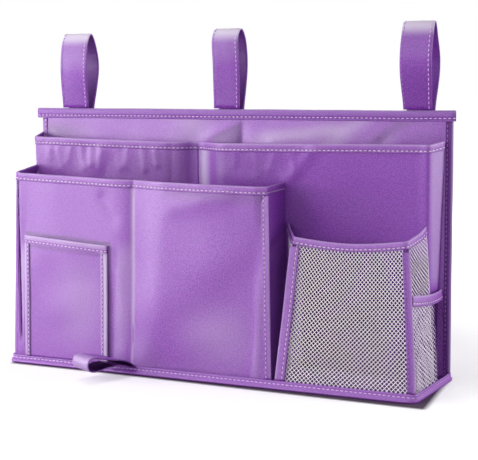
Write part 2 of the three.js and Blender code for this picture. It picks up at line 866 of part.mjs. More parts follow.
// Phone pocket: a patch on the front that stands open at its mouth, bound on three sides
function buildPhonePocket() {
  const stand_off = cloth_thickness / 2 + seam_gap + binding_half;
  const place = (across, up) => {
    const left = THREE.MathUtils.lerp(-phone_left_low_x, -phone_left_top_x, up);
    const right = THREE.MathUtils.lerp(-phone_right_low_x, -phone_right_top_x, up);
    const x = THREE.MathUtils.lerp(left, right, across);
    const top = THREE.MathUtils.lerp(phone_left_height, phone_right_height, across);
    const z = THREE.MathUtils.lerp(wall_rim, top, up);
    const open = phone_mouth_depth * Math.sin(Math.PI * across) * up;
    return point(x, frontFaceY(x, z), z).addScaledVector(front_normal, stand_off + open);
  };
  const grid = [];
  for (let j = 0; j <= patch_rows; j++) {
    const row = [];
    for (let i = 0; i <= patch_columns; i++) row.push(place(i / patch_columns, j / patch_rows));
    grid.push(row);
  }
  const patch = drawIn(grid, { start: bound_edge, end: bound_edge, top: bound_edge });
  add("phone_pocket", sheet(patch, cloth_thickness), purple_cloth, cloth_roughness);
  add(
    "phone_top_binding",
    foldedTape(topStations(grid), cloth_thickness, phone_top_binding_width),
    purple_tape,
    tape_roughness,
  );
  const below_top = phone_top_binding_width + seam_gap;
  const left = sideStations(grid, true, below_top);
  const right = sideStations(grid, false, below_top);
  add(
    "phone_left_binding",
    foldedTape(left, cloth_thickness, phone_left_binding_width),
    purple_tape,
    tape_roughness,
  );
  add(
    "phone_right_binding",
    foldedTape(right, cloth_thickness, phone_right_binding_width),
    purple_tape,
    tape_roughness,
  );
}

// Where the fold of a net pocket's corner binding lies at a height.
function meshFold(z, side, low_x, top_x, height) {
  const height_share = (z - wall_rim) / (height - wall_rim);
  const x = THREE.MathUtils.lerp(low_x, top_x, height_share) + side * edge_overhang;
  return point(x, THREE.MathUtils.lerp(net_low_y, -mesh_top_y, height_share), z);
}

// Net pocket: three nets along one line in plan under a tape that sags between its corners
function buildMeshPocket() {
  const lower = roundedLine(
    [
      { at: point(mesh_rear_left_low_x, pocket_rear_y, wall_bottom) },
      { at: point(mesh_left_low_x, net_low_y, wall_bottom), radius: net_corner_bend },
      { at: point(mesh_right_low_x, net_low_y, wall_bottom), radius: net_corner_bend },
      { at: point(mesh_rear_right_low_x, pocket_rear_y, wall_bottom) },
    ],
    [straight_steps, front_steps, straight_steps],
  );
  const upper = roundedLine(
    [
      { at: point(mesh_rear_left_top_x, pocket_rear_y, mesh_rear_left_height) },
      { at: point(mesh_left_top_x, -mesh_top_y, mesh_left_height), radius: mesh_top_corner_radius },
      { at: point(mesh_right_top_x, -mesh_top_y, mesh_right_height), radius: mesh_top_corner_radius },
      { at: point(mesh_rear_right_top_x, pocket_rear_y, mesh_rear_right_height) },
    ],
    [straight_steps, front_steps, straight_steps],
  );
  const left_end = straight_steps;
  const front_start = left_end + bend_steps;
  const front_end = front_start + front_steps;
  const right_start = front_end + bend_steps;
  const right_end = right_start + straight_steps;
  for (let i = front_start; i <= front_end; i++) {
    const share = (i - front_start) / front_steps;
    upper[i].z -= mesh_rim_sag * Math.sin(Math.PI * share);
  }
  const rim = lower.map((low) => point(low.x, low.y, wall_rim));
  const whole = rise(rim, upper, wall_rows);
  const front = drawIn(columnsOf(whole, front_start, front_end), { top: bound_edge });
  const front_foot = lower.slice(front_start, front_end + 1);
  add(
    "mesh_front_net",
    netSheet(front, front_net_columns, front_net_rows, net_thickness, front_foot),
    purple_net,
    cloth_roughness,
  );
  for (const [name, first, last] of [["left", 0, left_end], ["right", right_start, right_end]]) {
    const stand = lower.slice(first, last + 1).map((p) => point(p.x, p.y, inner_floor));
    const grid = rise(stand, upper.slice(first, last + 1), wall_rows);
    const clear = 2 * seam_gap;
    const drawn = drawIn(grid, { top: bound_edge, start: first ? clear : 0, end: first ? 0 : clear });
    add(
      "mesh_" + name + "_net",
      netSheet(drawn, gusset_net_columns, gusset_net_rows, net_thickness),
      purple_net,
      cloth_roughness,
    );
  }
  add(
    "mesh_top_binding",
    foldedTape(topStations(whole), net_thickness, mesh_top_binding_width),
    purple_tape,
    tape_roughness,
  );
  const lean = (-mesh_top_y - net_low_y) / (mesh_left_height - wall_rim);
  const normal = point(0, -1, lean).normalize();
  for (const [name, side, low_x, top_x, height] of [
    ["left", -1, mesh_left_low_x, mesh_left_top_x, mesh_left_height],
    ["right", 1, mesh_right_low_x, mesh_right_top_x, mesh_right_height],
  ]) {
    const edge_top = height - mesh_top_binding_width - mesh_edge_binding_drop;
    const stations = [wall_rim + seam_gap, edge_top].map((z) => {
      const at = meshFold(z, side, low_x, top_x, height);
      return { at, normal, inward: point(-side, 0, 0) };
    });
    add(
      "mesh_" + name + "_binding",
      foldedTape(stations, net_thickness, mesh_edge_binding_width),
      purple_tape,
      tape_roughness,
    );
  }
}

// Side pocket: a net from the net pocket's front corner to the side binding, bound along its top
function buildSidePocket() {
  const corner = baseCorners(base_corner_radius)[1];
  const turn = base_corner_radius - net_inset;
  const first = point(
    corner.x + turn * Math.cos(side_pocket_turn),
    corner.y - turn * Math.sin(side_pocket_turn),
    wall_bottom,
  );
  const lower = evenLine(
    [
      first,
      point(sideX(false, corner.y, net_inset), corner.y, wall_bottom),
      point(sideX(false, gusset_rear_y, net_inset), gusset_rear_y, wall_bottom),
    ],
    side_pocket_steps,
  );
  const height = side_pocket_front_height;
  const fold = meshFold(height, 1, mesh_right_low_x, mesh_right_top_x, mesh_right_height);
  const behind = net_binding_half + seam_gap + net_binding_half * slant_share;
  const start = fold.clone().add(point(-seam_gap, behind, 0));
  const end = point(side_pocket_rear_top_x, gusset_rear_y, side_pocket_rear_height);
  const upper = lower.map((_, i) => {
    const share = i / side_pocket_steps;
    const out = side_pocket_bulge * Math.sin(Math.PI * share);
    return start.clone().lerp(end, share).add(point(out, 0, 0));
  });
  const rim = lower.map((low) => point(low.x, low.y, wall_rim));
  const grid = rise(rim, upper, wall_rows);
  add(
    "side_pocket_net",
    netSheet(drawIn(grid, { top: bound_edge }), side_net_columns, side_net_rows, net_thickness, lower),
    purple_net,
    cloth_roughness,
  );
  add(
    "side_pocket_binding",
    foldedTape(topStations(grid), net_thickness, side_pocket_binding_width),
    purple_tape,
    tape_roughness,
  );
}

// One webbing loop with its hook tape, and the loop tape on the back cover
function buildStrap(name, x, crown, crown_reach, front_bow, rear_bow, shoulder) {
  const root = panel_height + seam_gap + strap_thickness / 2;
  const cover_rear = cover_y + cloth_thickness / 2;
  const loop_tape_y = cover_rear + seam_gap + fastener_thickness / 2;
  const hook_tape_y = loop_tape_y + fastener_thickness + seam_gap;
  const tail_y = hook_tape_y + fastener_thickness / 2 + seam_gap + strap_thickness / 2;
  const rear_y_at_root = stack_y + rear_leg_root_reach;
  const loop = new THREE.CatmullRomCurve3([
    point(x, stack_y, root),
    point(x, stack_y - front_bow, root + crown * strap_bow_share),
    point(x, stack_y + crown_reach - shoulder, root + crown * strap_shoulder_share),
    point(x, stack_y + crown_reach, root + crown),
    point(x, stack_y + crown_reach + shoulder, root + crown * strap_rear_shoulder_share),
    point(x, stack_y + rear_bow, root + crown * strap_bow_share),
    point(x, rear_y_at_root, root),
  ]);
  const drop = root - strap_tail_start_height;
  const swing = new THREE.CubicBezierCurve3(
    point(x, rear_y_at_root, root),
    point(x, rear_y_at_root - drop * strap_lean_share, root - drop * strap_drop_share),
    point(x, tail_y, strap_tail_start_height + drop * strap_drop_share),
    point(x, tail_y, strap_tail_start_height),
  );
  const line = [
    ...loop.getPoints(strap_steps),
    ...swing.getPoints(strap_drop_steps).slice(1),
    point(x, tail_y, strap_tail_end_height),
  ];
  const foot = [];
  const thickness = [];
  for (let k = bead_steps; k > 0; k--) {
    const angle = (k / (bead_steps + 1)) * (Math.PI / 2);
    foot.push(point(x, stack_y, root - (strap_thickness / 2) * Math.sin(angle)));
    thickness.push(strap_thickness * Math.cos(angle));
  }
  const all = [...foot, ...line];
  for (let k = 0; k < line.length; k++) thickness.push(strap_thickness);
  const rows = all.map((p) => [-1, 1].map((side) => p.clone().add(point((side * strap_width) / 2, 0, 0))));
  add("strap_" + name, sheet(rows, thickness), purple_tape, tape_roughness);
  const tape_bottom = strap_tail_end_height;
  add(
    "hook_tape_" + name,
    box(fastener_width, fastener_thickness, fastener_height, x, hook_tape_y, tape_bottom),
    fastener_purple,
    cloth_roughness,
  );
  add(
    "loop_tape_" + name,
    box(fastener_width, fastener_thickness, fastener_height, x, loop_tape_y, tape_bottom),
    fastener_purple,
    cloth_roughness,
  );
}

// The tab: a ribbon folded to a loop, sewn by its ends in the front seam and turned aside in plan
function buildTab() {
  const half = tab_thickness / 2;
  const outline = new THREE.CatmullRomCurve3(
    [
      point(0, 0, 0),
      point(tab_shoulder_reach, 0, tab_shoulder_height),
      point(tab_low_reach, 0, tab_top_height),
      point(tab_length, 0, tab_tip_height),
      point(tab_low_reach, 0, tab_low_height),
      point(tab_shoulder_reach, 0, tab_low_height),
    ],
    true,
  );
  const middle = outline.getPoints(tab_steps).slice(0, tab_steps);
  const side_of = (k, side) => {
    const before = middle[(k + middle.length - 1) % middle.length];
    const after = middle[(k + 1) % middle.length];
    const along = after.clone().sub(before).normalize();
    return middle[k].clone().add(point(-along.z, 0, along.x).multiplyScalar(side * half));
  };
  const outer = middle.map((_, k) => side_of(k, 1));
  const inner = middle.map((_, k) => side_of(k, -1)).filter((p) => p.x > tab_root_solid).reverse();
  const shape = new THREE.Shape(outer.map((p) => new THREE.Vector2(p.x, p.z)));
  shape.holes.push(new THREE.Path(inner.map((p) => new THREE.Vector2(p.x, p.z))));
  const geometry = new THREE.ExtrudeGeometry(shape, { depth: tab_width, bevelEnabled: false });
  const places = geometry.getAttribute("position");
  const root_y = front_y - seam_gap - half;
  for (let k = 0; k < places.count; k++) {
    const reach = places.getX(k);
    const up = places.getY(k);
    const aside = tab_width / 2 - places.getZ(k);
    const turned = tab_yaw * Math.min(Math.max(reach, 0) / tab_twist_reach, 1);
    places.setXYZ(
      k,
      -tab_root_x - reach * Math.sin(tab_yaw) + aside * Math.cos(turned),
      root_y - reach * Math.cos(tab_yaw) - aside * Math.sin(turned),
      tab_root_height + up,
    );
  }
  return geometry;
}

buildBackPanel();
buildBase();
buildMiddlePockets();
buildFrontPocket();
buildDivider();
buildPhonePocket();
buildMeshPocket();
buildSidePocket();
buildStrap(
  "left",
  -left_strap_x,
  left_strap_rise,
  left_strap_reach,
  left_front_bow,
  left_rear_bow,
  left_shoulder,
);
buildStrap(
  "middle",
  -middle_strap_x,
  middle_strap_rise,
  middle_strap_reach,
  middle_front_bow,
  middle_rear_bow,
  middle_shoulder,
);
buildStrap(
  "right",
  right_strap_x,
  right_strap_rise,
  right_strap_reach,
  right_front_bow,
  right_rear_bow,
  right_shoulder,
);
add("bottom_tab", buildTab(), purple_tape, tape_roughness);

export default caddy;
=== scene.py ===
# %% [markdown]
# A hanging bedside caddy, sewn from purple woven cloth. The construction is fixed: every piece of
# it has its place and size in the frame that is loaded first. This lesson gives each sewn piece its
# cloth: pockets that sag between their seams, folded tapes with stitches, open nets, webbing loops.

# %% Load the construction
import math

import bpy
from mathutils import Matrix, Vector, noise


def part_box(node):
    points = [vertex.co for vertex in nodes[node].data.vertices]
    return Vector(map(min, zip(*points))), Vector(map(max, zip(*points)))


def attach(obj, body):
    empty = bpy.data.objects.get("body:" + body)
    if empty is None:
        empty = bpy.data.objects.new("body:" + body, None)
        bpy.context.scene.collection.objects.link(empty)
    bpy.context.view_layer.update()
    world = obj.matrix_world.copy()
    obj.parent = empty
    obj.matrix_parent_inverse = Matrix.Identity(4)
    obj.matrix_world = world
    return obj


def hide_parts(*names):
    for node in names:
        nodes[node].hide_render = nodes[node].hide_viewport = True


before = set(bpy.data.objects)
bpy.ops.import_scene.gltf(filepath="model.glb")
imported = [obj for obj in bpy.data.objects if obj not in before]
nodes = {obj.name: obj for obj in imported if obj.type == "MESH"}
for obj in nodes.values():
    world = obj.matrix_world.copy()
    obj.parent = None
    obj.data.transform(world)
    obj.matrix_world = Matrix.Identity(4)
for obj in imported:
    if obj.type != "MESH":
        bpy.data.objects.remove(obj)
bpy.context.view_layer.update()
mm = 0.001

# %% [markdown]
# The camera stands where the photographer stood. Its direction and distance come from fitting the
# corners of the caddy, so that the render can be laid over the photograph. A camera looks along its
# own -Z, so the third column of its matrix points back at the photographer.

# %% Camera
image_width = 478
focal_pixels = 1217.67
sensor = 36.0
farthest_seen = 50
azimuth = math.radians(24.1)
elevation = math.radians(7.78)
roll = math.radians(-0.61)
camera_place = Vector((631.72, -1340.82, 378.64)) * mm

level = Vector((math.cos(azimuth), math.sin(azimuth), 0))
back_x = math.sin(azimuth) * math.cos(elevation)
back_y = -math.cos(azimuth) * math.cos(elevation)
back = Vector((back_x, back_y, math.sin(elevation)))
upright = back.cross(level)
right = math.cos(roll) * level + math.sin(roll) * upright
up = math.cos(roll) * upright - math.sin(roll) * level
turn = Matrix((right, up, back)).transposed().to_4x4()

bpy.ops.object.camera_add()
camera = bpy.context.object
camera.name = "photographer"
camera.matrix_world = Matrix.Translation(camera_place) @ turn
camera.data.sensor_width = sensor
camera.data.lens = sensor * focal_pixels / image_width
camera.data.clip_end = farthest_seen
bpy.context.scene.camera = camera
bpy.context.scene.view_settings.view_transform = "Standard"
print("camera", round(camera.data.lens, 1), "mm lens")

# %% [markdown]
# Materials are built from nodes. A few helpers keep that short: an input of a node takes a number,
# a colour or the output of another node.

# %% Helpers for nodes
def feed(tree, node, inputs):
    for name, value in inputs.items():
        if isinstance(value, bpy.types.NodeSocket):
            tree.links.new(value, node.inputs[name])
        else:
            node.inputs[name].default_value = value


def add_node(tree, kind, inputs, **settings):
    node = tree.nodes.new("ShaderNode" + kind)
    for name, value in settings.items():
        setattr(node, name, value)
    feed(tree, node, inputs)
    return node


def calculate(tree, operation, *values):
    return add_node(tree, "Math", dict(enumerate(values)), operation=operation).outputs[0]


def blend_colors(tree, share, first, second):
    inputs = {0: share, 6: first, 7: second}
    return add_node(tree, "Mix", inputs, data_type="RGBA").outputs[2]


def map_range(tree, value, low, high, new_low=0.0, new_high=1.0):
    """Spreads a value from low .. high to new_low .. new_high, and clamps it there."""
    ends = {"From Min": low, "From Max": high, "To Min": new_low, "To Max": new_high}
    return add_node(tree, "MapRange", {"Value": value, **ends}).outputs["Result"]


def blank_tree(owner):
    owner.use_nodes = True
    owner.node_tree.nodes.clear()
    return owner.node_tree


print("helpers ready")

# %% [markdown]
# The caddy stands on a white table in a bright studio. The floor takes the soft shadow, and it
# glows a little for the camera alone, so that it melts into the white background without lighting
# the cloth. No light gets to the foot of the base, where the tape stands a little off the table. So
# a shadow is painted on the floor close round the base, a little wider towards the front and the
# right.

# %% Floor, background and lamps
floor_size = 24
floor_level = -0.2 * mm
floor_color = (0.8, 0.8, 0.8, 1)
floor_glow = 0.42
glow_starts = 0.35
glow_full = 0.8
# A shadow painted on the floor round the base: its colour, its blur and its sides.
painted_shadow_color = (0.12, 0.09, 0.13, 1)
painted_shadow_blur = 8 * mm
painted_shadow_sides = (
    # axis, centre and half width, then from where to where on the other axis it widens, and by what
    (0, 11.5, 263.5, 60, -60, 7),
    (1, 0, 61, -120, 250, 9),
)
white = (1, 1, 1, 1)
fill_color = (0.82, 0.62, 1, 1)
fill_strength = 0.03
lamp_aim = Vector((0, 0, 0.2))
lamps = (
    # name, place, size, power
    ("window", (-1.35, -0.7, 0.36), 0.6, 12.5),
    ("near_left", (-0.65, -0.85, 0.7), 0.5, 3.8),
    ("front", (0.0, -1.9, 0.6), 0.8, 5.6),
    ("right_front", (1.1, -1.1, 0.7), 0.7, 3.2),
    ("right_rear", (1.5, 0.4, 0.5), 0.6, 13),
    ("above", (-0.3, -0.2, 1.6), 0.8, 5.6),
    ("rear", (-0.3, 1.6, 0.9), 0.9, 6),
)


def outside_painted_shadow(tree, where):
    """0 in the painted shadow under the base and at its foot, 1 away from it."""
    apart = add_node(tree, "SeparateXYZ", {0: where}).outputs
    squares = []
    for axis, centre, half, low, high, reach in painted_shadow_sides:
        shifted = calculate(tree, "SUBTRACT", apart[axis], centre * mm)
        beyond = calculate(tree, "SUBTRACT", calculate(tree, "ABSOLUTE", shifted), half * mm)
        wider = map_range(tree, apart[1 - axis], low * mm, high * mm, 0.0, reach * mm)
        beyond = calculate(tree, "SUBTRACT", beyond, wider)
        squares.append(calculate(tree, "POWER", calculate(tree, "MAXIMUM", beyond, 0.0), 2.0))
    distance = calculate(tree, "SQRT", calculate(tree, "ADD", *squares))
    return map_range(tree, distance, 0.0, painted_shadow_blur)


def make_floor():
    bpy.ops.mesh.primitive_plane_add(size=floor_size, location=(0, 0, floor_level))
    floor = bpy.context.object
    floor.name = "table_top"
    material = bpy.data.materials.new("white table")
    tree = blank_tree(material)
    where = add_node(tree, "TexCoord", {}).outputs["Object"]
    away = add_node(tree, "VectorMath", {0: where}, operation="LENGTH").outputs["Value"]
    rising = map_range(tree, away, glow_starts, glow_full, floor_glow, 1.0)
    outside = outside_painted_shadow(tree, where)
    seen = add_node(tree, "LightPath", {}).outputs["Is Camera Ray"]
    strength = calculate(tree, "MULTIPLY", seen, calculate(tree, "MULTIPLY", rising, outside))
    # The floor takes the painted shadow close round the base.
    matt_color = blend_colors(tree, outside, painted_shadow_color, floor_color)
    matt = add_node(tree, "BsdfDiffuse", {"Color": matt_color}).outputs[0]
    glow = add_node(tree, "Emission", {"Color": white, "Strength": strength}).outputs[0]
    both = add_node(tree, "AddShader", {0: matt, 1: glow}).outputs[0]
    add_node(tree, "OutputMaterial", {"Surface": both})
    floor.data.materials.append(material)


def make_world():
    world = bpy.data.worlds.new("studio")
    tree = blank_tree(world)
    fill_inputs = {"Color": fill_color, "Strength": fill_strength}
    fill = add_node(tree, "Background", fill_inputs).outputs[0]
    bright = add_node(tree, "Background", {"Color": white, "Strength": 1.0}).outputs[0]
    seen = add_node(tree, "LightPath", {}).outputs
    mirrored = calculate(tree, "MAXIMUM", seen["Is Camera Ray"], seen["Is Glossy Ray"])
    choose = add_node(tree, "MixShader", {0: mirrored, 1: fill, 2: bright}).outputs[0]
    add_node(tree, "OutputWorld", {"Surface": choose})
    bpy.context.scene.world = world


make_floor()
make_world()
for name, place, size, power in lamps:
    bpy.ops.object.light_add(type="AREA", location=place)
    lamp = bpy.context.object
    lamp.name = name
    lamp.data.shape = "DISK"
    lamp.data.size = size
    lamp.data.energy = power
    lamp.rotation_euler = (lamp_aim - Vector(place)).to_track_quat("-Z", "Y").to_euler()
print("stage ready,", len(lamps), "lamps")

# %% [markdown]
# All the cloth is the same polyester: a fine plain weave whose threads are not quite one purple, so
# that it looks heathered from near by. The weave is a node group with named inputs. It reads a UV
# map that is laid out in metres, so the threads have one size on every piece and follow its folds.

# %% Weave as a node group
weave_sockets = (
    ("INPUT", "Vector", "Place", None),
    ("INPUT", "Float", "Threads per metre", 1300.0),
    ("INPUT", "Color", "Light thread", (0.5, 0.3, 0.6, 1)),
    ("INPUT", "Color", "Dark thread", (0.3, 0.15, 0.4, 1)),
    ("INPUT", "Float", "Heather", 0.5),
    ("OUTPUT", "Color", "Color", None),
    ("OUTPUT", "Float", "Height", None),
)
fine_flecks = 800.0
broad_flecks = 240.0
fine_share = 0.8
fleck_contrast = 2.6
thread_contrast = 0.25
middle_tone = 0.4


def speckle(tree, place, scale, detail):
    inputs = {"Vector": place, "Scale": scale, "Detail": detail}
    return add_node(tree, "TexNoise", inputs).outputs["Fac"]


def make_weave():
    group = bpy.data.node_groups.new("Plain weave", "ShaderNodeTree")
    for direction, kind, name, value in weave_sockets:
        kind = "NodeSocket" + kind
        socket = group.interface.new_socket(name=name, in_out=direction, socket_type=kind)
        if value is not None:
            socket.default_value = value
    given = group.nodes.new("NodeGroupInput").outputs
    result = group.nodes.new("NodeGroupOutput")

    def times(first, second):
        return calculate(group, "MULTIPLY", first, second)

    def plus(first, second):
        return calculate(group, "ADD", first, second)

    parts = add_node(group, "SeparateXYZ", {0: given["Place"]}).outputs
    waves = []
    for axis in (0, 1):
        turns = times(parts[axis], given["Threads per metre"])
        waves.append(calculate(group, "SINE", times(turns, math.pi)))
    over = calculate(group, "GREATER_THAN", times(*waves), 0.0)
    under = calculate(group, "SUBTRACT", 1.0, over)
    warp = times(calculate(group, "ABSOLUTE", waves[0]), over)
    weft = times(calculate(group, "ABSOLUTE", waves[1]), under)
    height = plus(warp, weft)
    fine = times(speckle(group, given["Place"], fine_flecks, 1.0), fine_share)
    broad = times(speckle(group, given["Place"], broad_flecks, 2.0), 1 - fine_share)
    centred = calculate(group, "SUBTRACT", plus(fine, broad), 0.5)
    spread = times(times(centred, fleck_contrast), given["Heather"])
    toned = plus(times(height, thread_contrast), plus(spread, middle_tone))
    share = calculate(group, "MINIMUM", calculate(group, "MAXIMUM", toned, 0.0), 1.0)
    color = blend_colors(group, share, given["Dark thread"], given["Light thread"])
    feed(group, result, {"Color": color, "Height": height})
    return group


weave = make_weave()
print("weave group has", len(weave.nodes), "nodes")

# %% [markdown]
# Each material places the weave with its own thread count and colours. Colours are written as they
# look in even light, and turned into the linear values that the shader wants. The threads are
# slick, so a broad white gloss lies over the purple where the cloth faces the window. A point
# attribute named shade runs from -1 to 1 and only mixes the colour, so it paints light and shade.
# Above 0 it is painted shade, which darkens what lies deep in a seam or behind a net; below 0 it is
# painted light, which makes the cloth paler where more light would fall. Faces in the deepest
# painted shade get a second cloth that has hardly any gloss.

# %% Cloth materials
# How far painted shade darkens the cloth and painted light makes it paler.
deep_share = 0.22
pale_share = 0.3
cloth_ior = 1.62
sheen_rough = 0.4
bump_strength = 0.25
bump_height = 0.25 * mm
light_purple = (156, 74, 191)
dark_purple = (110, 30, 153)


def linear(red, green, blue):
    def channel(value):
        share = value / 255
        return share / 12.92 if share <= 0.04045 else ((share + 0.055) / 1.055) ** 2.4

    return (channel(red), channel(green), channel(blue), 1)


def new_material(name):
    material = bpy.data.materials.new(name)
    material.use_nodes = True
    return material, material.node_tree, material.node_tree.nodes["Principled BSDF"]


def cloth_material(name, light, dark, threads, heather, rough=0.44, gloss=0.8, sheen=0.0):
    material, tree, shader = new_material(name)
    light = linear(*light)
    dark = linear(*dark)
    thread_inputs = {
        "Place": add_node(tree, "UVMap", {}, uv_map="UVMap").outputs["UV"],
        "Threads per metre": threads,
        "Light thread": light,
        "Dark thread": dark,
        "Heather": heather,
    }
    cloth = add_node(tree, "Group", thread_inputs, node_tree=weave).outputs
    raised = {"Strength": bump_strength, "Distance": bump_height, "Height": cloth["Height"]}
    # The shade attribute: painted shade above 0, painted light below 0.
    tone = add_node(tree, "Attribute", {}, attribute_name="shade").outputs["Fac"]
    darker = calculate(tree, "MAXIMUM", tone, 0.0)
    paler = calculate(tree, "MAXIMUM", calculate(tree, "MULTIPLY", tone, -1.0), 0.0)
    deep = [channel * deep_share for channel in dark[:3]] + [1]
    pale = [1 - (1 - channel) * pale_share for channel in light[:3]] + [1]
    shaded = blend_colors(tree, darker, cloth["Color"], deep)
    shader_inputs = {
        "Base Color": blend_colors(tree, paler, shaded, pale),
        "Normal": add_node(tree, "Bump", raised).outputs["Normal"],
        "Roughness": rough,
        "IOR": cloth_ior,
        "Specular IOR Level": gloss,
        "Sheen Weight": sheen,
        "Sheen Roughness": sheen_rough,
    }
    feed(tree, shader, shader_inputs)
    return material


purple_cloth = cloth_material("purple oxford cloth", light_purple, dark_purple, 1300, 1.6)
# A copy of the cloth with darker colours and less gloss: painted shade for the tall right pocket
# and the right gusset.
shaded_cloth = cloth_material(
    "purple oxford cloth, painted shade", (150, 66, 188), (104, 24, 150), 1300, 1.6, 0.48, 0.55
)
# Painted deep shade: a glossless copy of the cloth for faces with the deepest painted shade.
deep_cloth = cloth_material(
    "purple cloth in deep shade", light_purple, dark_purple, 1300, 1.6, 0.7, 0.06
)
purple_tape = cloth_material("purple folded tape", light_purple, (108, 30, 151), 1700, 1.5)
webbing = cloth_material("purple webbing", (148, 64, 186), (102, 24, 148), 1500, 1.5, gloss=0.45)
# A darker copy of the tape: painted shade for the right side tape.
shaded_tape = cloth_material("purple tape in painted shade", (116, 48, 150), (74, 20, 106), 1700, 0.9, 0.55, 0.3)
side_tape = cloth_material(
    "purple tape in half shade", (150, 70, 186), (104, 30, 146), 1700, 1.3, 0.5, 0.6
)
fuzzy_tape = cloth_material("hook and loop tape", (120, 66, 150), (72, 32, 100), 900, 1.0, 0.9, 0.2)
thread = cloth_material(
    "pale stitching thread", (250, 214, 255), (228, 180, 244), 4000, 0.6, 0.6, 0.6, 0.5
)
# A darker copy of the thread: painted shade on the shaded tapes and on the loops' near rows.
shaded_thread = cloth_material(
    "stitching thread in painted shade", (176, 118, 204), (146, 88, 180), 4000, 0.6, 0.6, 0.4
)
net_yarn = cloth_material("white net yarn", (255, 246, 255), (252, 236, 255), 3000, 0.3, 0.4, 1, 1)
# A lilac copy of the white net yarn: painted shade for the side pocket.
shaded_lilac_yarn = cloth_material(
    "lilac net yarn, painted shade", (226, 192, 242), (196, 152, 222), 3000, 0.3, 0.6, 0.6, 0.5
)


def board_material():
    material, tree, shader = new_material("grey pulp board")
    fibre = speckle(tree, add_node(tree, "TexCoord", {}).outputs["Object"], 400.0, 4.0)
    color = blend_colors(tree, fibre, linear(120, 117, 112), linear(164, 160, 154))
    feed(tree, shader, {"Base Color": color, "Roughness": 0.9})
    return material


pulp_board = board_material()
for name in ("back_board_left", "back_board_right", "base_board"):
    nodes[name].data.materials.clear()
    nodes[name].data.materials.append(pulp_board)
print("materials", len(bpy.data.materials))

# %% [markdown]
# A sewn wall is a sheet between a line on the floor and a line at its rim. Both lines run in plan
# with rounded corners, and have as many points, so a grid can be hung between them. A push in
# millimetres then moves each point outwards, which makes sags, puckers and creases.

# %% Walls between two lines
bend_steps = 8


def plan_line(corners, counts):
    """Points through corners (x, y, z, reach), bent within reach of each inner corner."""
    knots = [Vector(corner[:3]) for corner in corners]
    line = [knots[0]]
    for k, count in enumerate(counts, 1):
        knot = knots[k]
        reach = corners[k][3] if k < len(counts) else 0
        start = line[-1]
        before = knot + (knots[k - 1] - knot).normalized() * reach
        line += [start.lerp(before, step / count) for step in range(1, count + 1)]
        if reach:
            after = knot + (knots[k + 1] - knot).normalized() * reach
            for step in range(1, bend_steps + 1):
                share = step / bend_steps
                line.append(before.lerp(knot, share).lerp(knot.lerp(after, share), share))
    return [point * mm for point in line]


def clamp(value, low=0.0, high=1.0):
    return min(max(value, low), high)


def wall(lower, upper, push=None):
    """A surface from the lower line (v = 0) to the upper (v = 1). push(x, z, v) is in mm."""
    last = len(lower) - 1

    def place(u, v):
        along = clamp(u) * last
        k = min(int(along), last - 1)
        low = lower[k].lerp(lower[k + 1], along - k)
        high = upper[k].lerp(upper[k + 1], along - k)
        at = low.lerp(high, v)
        if push is None:
            return at
        run = (lower[k + 1] - lower[k]).lerp(upper[k + 1] - upper[k], v)
        outwards = Vector((run.y, -run.x, 0)).normalized()
        return at + outwards * (push(at.x / mm, at.z / mm, v) * mm)

    return place


def bell(value, centre, width):
    """1 at the centre, falling softly to 0 on both sides."""
    return math.exp(-(((value - centre) / width) ** 2))


def fade(value, start, end):
    """0 at start, 1 at end, smooth between them. The end may be the lower of the two."""
    share = clamp((value - start) / (end - start))
    return share * share * (3 - 2 * share)


def crease(x, z, start, end, depth, width):
    """A soft fold of a wall between two places (x, z), in millimetres."""
    first = Vector(start)
    along = Vector(end) - first
    here = Vector((x, z)) - first
    share = clamp(here.dot(along) / along.length_squared)
    return depth * bell((here - along * share).length, 0, width)


def creases(x, z, rows):
    """The sum of several soft folds, with one row for each."""
    return sum(crease(x, z, *row) for row in rows)


def slope(x, z, start, end, depth, width):
    """A soft step across the line from start to end, forwards on its left side, in millimetres."""
    along = (Vector(end) - Vector(start)).normalized()
    here = Vector((x, z)) - Vector(start)
    return depth * math.tanh((along.x * here.y - along.y * here.x) / width)


def ripple(x, z, size, depth, seed):
    """Slow waves without a pattern, the same at each run."""
    return depth * noise.noise(Vector((x / size, z / size, seed)))


print("walls can be drawn")

# %% [markdown]
# A sheet is a grid primitive whose points are moved to their places. Its UV map is stretched to the
# sheet's real width and height, and a Solidify modifier gives it the thickness of the cloth. The
# width that each sewn cloth was cut to is printed.

# %% Sheets of cloth
cloth_thickness = 1.2 * mm
tape_thickness = 0.8 * mm
measure_steps = 60
deep_tone = 0.5


def length_of(points):
    return sum((b - a).length for a, b in zip(points, points[1:]))


def width_of(place):
    return length_of([place(k / measure_steps, 0.5) for k in range(measure_steps + 1)])


def grid_piece(name, place, columns, rows):
    bpy.ops.mesh.primitive_grid_add(x_subdivisions=columns, y_subdivisions=rows, size=1)
    piece = bpy.context.object
    piece.name = name
    for vertex in piece.data.vertices:
        vertex.co = place(vertex.co.x + 0.5, vertex.co.y + 0.5)
    across = width_of(place)
    high = width_of(lambda u, v: place(v, u))
    for corner in piece.data.uv_layers["UVMap"].data:
        corner.uv = (corner.uv[0] * across, corner.uv[1] * high)
    return piece


def edit_mesh(*steps):
    """Runs edit-mode operators on the whole mesh of the active piece."""
    bpy.ops.object.mode_set(mode="EDIT")
    bpy.ops.mesh.select_all(action="SELECT")
    for operator, options in steps:
        operator(**options)
    bpy.ops.object.mode_set(mode="OBJECT")


def make_active(piece):
    bpy.ops.object.select_all(action="DESELECT")
    piece.select_set(True)
    bpy.context.view_layer.objects.active = piece


def apply_all(piece):
    make_active(piece)
    for modifier in list(piece.modifiers):
        bpy.ops.object.modifier_apply(modifier=modifier.name)


def thicken(piece, thickness):
    shell = piece.modifiers.new("Thickness", "SOLIDIFY")
    shell.thickness = thickness
    shell.offset = 0
    apply_all(piece)
    piece.data.shade_smooth()


